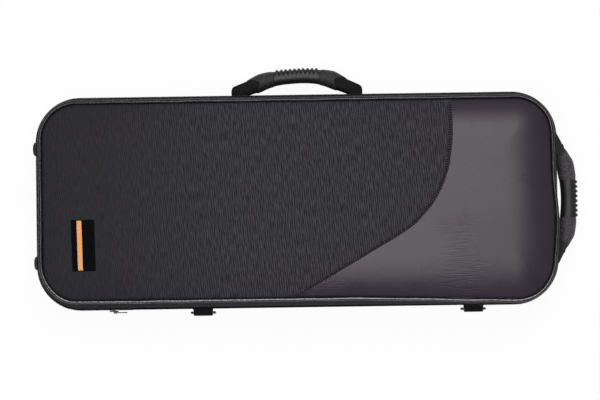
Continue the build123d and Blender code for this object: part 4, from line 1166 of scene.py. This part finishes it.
class CASE_OT_handles(bpy.types.Operator):
    """Carrying handles: ribbed grips, textured pads, woven sleeves and their anchors"""

    bl_idname = "case.handles"
    bl_label = "Handles"

    def execute(self, context):
        for name, handle in HANDLES.items():
            # The end handle's pads and sleeves take paler copies of their finishes: painted light, where they show
            # brighter than the top handle's.
            painted_light = "worn_" if name == "end_handle" else ""
            self.grip(name, handle)
            self.pads(name, handle, painted_light + "pad_rubber")
            self.sleeves(name, handle, painted_light + "webbing")
            dress("moulded_nylon", f"{name}_anchors", bevel=0.4)
            dress("nickel_steel", f"{name}_rivets", bevel=0.25)
            dress("webbing", f"{name}_core")
        return {"FINISHED"}

    @staticmethod
    def grip(name, handle):
        """Round grip with ribs towards the outside: each is half an ellipse 3.9 mm wide and 2 mm high."""
        at = np.linspace(-33.0, 33.0, 265)
        angle = circle(40, -math.pi)
        last, pitch = handle["ribs"] - 1, handle["pitch"]
        phase = at / pitch + last / 2
        near = np.abs(phase - np.clip(np.round(phase), 0, last)) * pitch
        rib = np.sqrt(np.maximum(1 - (near / 1.95) ** 2, 0))
        facing = smooth_step((np.cos(angle) - handle["rib_side"]) / 0.35)
        points = handle_section(handle, *side_lines(handle, at), angle, GRIP_SQUARE)
        away = unit(points - points.mean(axis=1, keepdims=True))
        points += away * (2.0 * rib[:, None] * facing)[..., None]
        part = grid(points, around=True, caps=True)
        build(f"{name}_ribbed_grip", [part], "grip_rubber", f"{name}_body", f"{name}_grip")

    @staticmethod
    def pads(name, handle, finish):
        """Textured pads. Each is a wrap 1.1 mm thick over the grip's end and the sleeve; its free edge is cut to a V,
        furthest along on the outside, least at the sides."""
        angle = circle(56, -math.pi)
        reach = np.interp(np.abs(angle) / math.pi, [0.0, 0.12, 0.5, 0.56, 0.9, 1.0], handle["pad_edge"])
        # Out along the pad's face to its free edge and back on its underside, with the edges rounded off
        share = np.concatenate([np.linspace(0, 1, 30), np.linspace(1, 0, 30)])
        drop = np.concatenate([[0.9, 0.45, 0.15], np.zeros(24), [0.06, 0.2, 0.45], np.full(30, 1.25)])[:, None]
        parts = []
        for side in (-1, 1):
            columns = []
            for turn, end in zip(angle, reach):
                start = handle["pad_start"]
                outer, inner, width = side_lines(handle, side * (start + (end - start) * share))
                turn = np.array([turn])
                face = handle_section(handle, outer, inner, width + 0.55, turn, GRIP_SQUARE)[:, 0]
                deep = handle_section(handle, outer, inner, width, turn, GRIP_SQUARE, 4.0)[:, 0]
                columns.append(face + unit(deep - face) * (drop - 0.45))
            parts.append(grid(np.stack(columns, axis=1), around=True, closed=True))
        nodes = (f"{name}_pads", f"{name}_collars")
        piece = build(f"{name}_textured_pads", parts, finish, f"{name}_body", nodes, sharp=60.0)

    @staticmethod
    def sleeves(name, handle, finish):
        """Woven sleeves from under the pads to the feet. Near the wall each ring narrows to the hinge barrel."""
        at = np.concatenate([np.linspace(41, 80, 40), np.linspace(80.4, 84, 10)])
        lines = (np.array(handle["outer"][-4:] + handle["leg"]), np.array(handle["inner"][-4:] + handle["leg_inner"]))
        outer, inner = (np.stack([np.interp(at, LEG_KNOTS, v) for v in line.T], axis=1) for line in lines)
        width = np.interp(at, LEG_KNOTS, LEG_HALF_WIDTHS)
        _, out, across = handle_axes(handle)
        for side, end in ((-1, "a"), (1, "b")):
            flip = (side, 1.0)
            sizes = (outer * flip, inner * flip, width, circle(44, -math.pi), SLEEVE_SQUARE, 0.75)
            points = handle_section(handle, *sizes)
            local = points - np.array(handle["origin"])
            lateral = local @ across
            room = BARREL_HALF + 6.9 * smooth_step((local @ out - 5.4) / 12.5)
            points += (np.clip(lateral, -room, room) - lateral)[..., None] * across
            part = grid(points, around=True, caps=True)
            body, node = f"{name}_body", f"{name}_sleeve_{end}"
            piece = build(f"{name}_woven_sleeve_{end}", [part], finish, body, node, sharp=60.0)


RING_PLACES = {"left": -122.0, "right": 224.0}  # x of the strap fittings
LOOP_Z = 42.0  # their height on the hinge wall
BAR_OUT = 11.5  # the ring's straight bar, out from the wall


class CASE_OT_strap_rings(bpy.types.Operator):
    """Webbing loops on the hinge wall and the rings that hang in them"""

    bl_idname = "case.strap_rings"
    bl_label = "Strap rings"

    def execute(self, context):
        lean = math.atan(BASE_SLOPE)
        out = np.array([0.0, -math.cos(lean), -math.sin(lean)])
        up = np.array([0.0, -math.sin(lean), math.cos(lean)])
        # Loop: down the wall, out to the bar, round it and back to the wall, where it is sewn down
        round_bar = np.radians(np.linspace(105, -105, 17))
        leg = np.array([(0.95, 12.0), (0.95, 9.5), (1.5, 8.2), (4.0, 6.4), (7.3, 4.6)])
        bend = np.stack([BAR_OUT + 3.2 * np.cos(round_bar), 3.2 * np.sin(round_bar)], axis=1)
        loop = np.concatenate([leg, bend, leg[::-1] * (1, -1)])
        width = np.interp(loop[:, 0], [1.0, 9.0], [29.0, 24.4])
        # Ring: a straight bar, rounded corners, short sides and a half circle, in the plane x, z
        half, drop, corner = 14.8, 8.0, 3.5
        turn = np.radians(np.linspace(90, 0, 8))
        right = np.stack([half - corner + corner * np.cos(turn), corner * np.sin(turn) - corner], axis=1)
        sweep = np.radians(np.linspace(0, -180, 30))
        bow = np.stack([half * np.cos(sweep), half * np.sin(sweep) - drop], axis=1)
        ring = np.concatenate([right, bow, right[::-1] * (-1, 1)])
        ring = np.stack([ring[:, 0], np.zeros(len(ring)), ring[:, 1]], axis=1)
        inward = unit(np.cross(np.roll(ring, -1, axis=0) - np.roll(ring, 1, axis=0), AWAY))
        _, half_y, _ = case_sizes()
        for side, x in RING_PLACES.items():
            foot = np.array([x, wall_inset(LOOP_Z) - half_y, LOOP_Z])
            webbing = strap(foot + loop[:, :1] * out + loop[:, 1:] * up, width, 1.5)
            name, node = f"ring_webbing_{side}", f"ring_loop_{side}"
            build(name, [webbing], "webbing", "base", node, sharp=60.0)
            wire = grid(tube(foot + BAR_OUT * out + ring, 1.78, inward, AWAY, 12), around=True, closed=True)
            node = f"strap_ring_{side}"
            build(f"strap_d_ring_{side}", [wire], "nickel_steel", f"{node}_body", node)
        return {"FINISHED"}


class CASE_OT_hard_parts(bpy.types.Operator):
    """Finishes of the parts whose solids show as they are: shells, feet and screws"""

    bl_idname = "case.hard_parts"
    bl_label = "Shells, feet and screws"

    def execute(self, context):
        dress("laminated_ply", "base_shell", "lid_shell")
        dress("foot_rubber", "end_feet", bevel=0.3)
        dress("nickel_steel", "end_foot_screws", bevel=0.2)
        return {"FINISHED"}


class CASE_OT_stage(bpy.types.Operator):
    """White floor, soft lights and the camera at the photograph's viewing angle"""

    bl_idname = "case.stage"
    bl_label = "Stage"

    distance: FloatProperty(name="Camera height", default=4.02, unit="LENGTH", description="Over the zip")
    offset: FloatProperty(name="Camera offset", default=-0.144, unit="LENGTH", description="Towards the hinge wall")
    roll: FloatProperty(name="Roll", default=0.0148, subtype="ANGLE", description="Of the camera about its view")

    def execute(self, context):
        scene = context.scene
        scene.view_settings.view_transform = "Standard"
        self.floor()
        self.world(scene)
        # A long soft box overhead, across the case, and a low fill from the zip side of the left end
        for name, place, size, power in (
            ("key", (0.05, 0.12, 2.9), (0.9, 2.4), 70.0),
            ("fill", (-1.6, 1.2, 2.2), (1.4, 1.4), 9.0),
        ):
            light = bpy.data.lights.new(name, "AREA")
            light.shape = "RECTANGLE"
            light.size, light.size_y = size
            light.energy = power
            lamp = bpy.data.objects.new(name, light)
            lamp.location = place
            direction = Vector((0.0, 0.0, 0.1)) - Vector(place)
            lamp.rotation_euler = direction.to_track_quat("-Z", "Y").to_euler()
            scene.collection.objects.link(lamp)

        camera = bpy.data.objects.new("camera", bpy.data.cameras.new("camera"))
        scene.collection.objects.link(camera)
        target = Vector((0.0039, 0.0014, SPLIT * MM))
        place = Vector((0.0, self.offset, SPLIT * MM + self.distance))
        # The camera's x axis lies along the case, then turns a little about the view
        look = (target - place).normalized()
        right = look.cross(Vector((0, 1, 0))).normalized()
        upright = Matrix((right, right.cross(look), -look)).transposed()
        camera.rotation_euler = (Matrix.Rotation(self.roll, 3, look) @ upright).to_euler()
        camera.location = place
        # 1.266 mm of the zip's plane falls on each of the photograph's 600 pixels across
        camera.data.lens = camera.data.sensor_width * (target - place).length / (600 * 1.266 * MM)
        camera.data.clip_end = 60.0
        scene.camera = camera
        return {"FINISHED"}

    @staticmethod
    def shown(owner, kinds, share, lit, seen, output):
        """Shows the shader `seen` for a share of the rays of these kinds, and `lit` for all others."""
        owner.use_nodes = True
        owner.node_tree.nodes.clear()
        rays = add_node(owner, "ShaderNodeLightPath").outputs
        found = rays[kinds[0]]
        for kind in kinds[1:]:
            found = add_node(owner, "ShaderNodeMath", {0: found, 1: rays[kind]}, operation="MAXIMUM").outputs[0]
        factor = add_node(owner, "ShaderNodeMath", {0: found, 1: share}, operation="MULTIPLY").outputs[0]
        shaders = [add_node(owner, kind, values).outputs[0] for kind, values in (lit, seen)]
        mixed = add_node(owner, "ShaderNodeMixShader", {0: factor, 1: shaders[0], 2: shaders[1]})
        add_node(owner, output, {"Surface": mixed.outputs[0]}, is_active_output=True)

    def floor(self):
        """A wide floor under the case. The camera sees it almost white, with a faint shadow."""
        mesh = bpy.data.meshes.new("floor")
        corners = [(x, y, 0.0) for x, y in ((-5, -5), (5, -5), (5, 5), (-5, 5))]
        mesh.from_pydata(corners, [], [(0, 1, 2, 3)])
        board = bpy.data.materials.new("matt_white_board")
        matt = ("ShaderNodeBsdfDiffuse", {"Color": linear("#FFFFFF")})
        glow = ("ShaderNodeEmission", {"Color": (1, 1, 1, 1), "Strength": 1.0})
        kinds = ("Is Camera Ray", "Is Transmission Ray")
        self.shown(board, kinds, 0.94, matt, glow, "ShaderNodeOutputMaterial")
        mesh.materials.append(board)
        floor = bpy.data.objects.new("floor", mesh)
        bpy.context.scene.collection.objects.link(floor)

    def world(self, scene):
        """Even light from all round, white where the camera looks straight at it."""
        scene.world = bpy.data.worlds.new("studio")
        room = ("ShaderNodeBackground", {"Color": linear("#EEF0F4"), "Strength": 0.22})
        white = ("ShaderNodeBackground", {"Color": (1, 1, 1, 1), "Strength": 1.0})
        self.shown(scene.world, ("Is Camera Ray",), 1.0, room, white, "ShaderNodeOutputWorld")


class CASE_PT_sidebar(bpy.types.Panel):
    """Sizes, colours and building steps of the case"""

    bl_label = "Saxophone Case"
    bl_idname = "CASE_PT_sidebar"
    bl_space_type = "VIEW_3D"
    bl_region_type = "UI"
    bl_category = "Sax Case"

    def draw(self, context):
        for group in (context.scene.case_sizes, context.scene.case_colours):
            box = self.layout.box()
            for key in group.__annotations__:
                box.prop(group, key)
        for operator in OPERATORS:
            self.layout.operator(operator.bl_idname)


OPERATORS = (
    CASE_OT_covers,
    CASE_OT_front,
    CASE_OT_piping,
    CASE_OT_zip,
    CASE_OT_hinge,
    CASE_OT_cradle,
    CASE_OT_lid_inside,
    CASE_OT_handles,
    CASE_OT_strap_rings,
    CASE_OT_hard_parts,
    CASE_OT_stage,
)
CLASSES = (CaseSizes, CaseColours, *OPERATORS, CASE_PT_sidebar)


def register():
    for cls in CLASSES:
        bpy.utils.register_class(cls)
    bpy.types.Scene.case_sizes = PointerProperty(type=CaseSizes)
    bpy.types.Scene.case_colours = PointerProperty(type=CaseColours)


def unregister():
    del bpy.types.Scene.case_colours
    del bpy.types.Scene.case_sizes
    for cls in reversed(CLASSES):
        bpy.utils.unregister_class(cls)


def main():
    register()
    for operator in OPERATORS:
        group, name = operator.bl_idname.split(".")
        getattr(getattr(bpy.ops, group), name)()


if __name__ == "__main__":
    main()
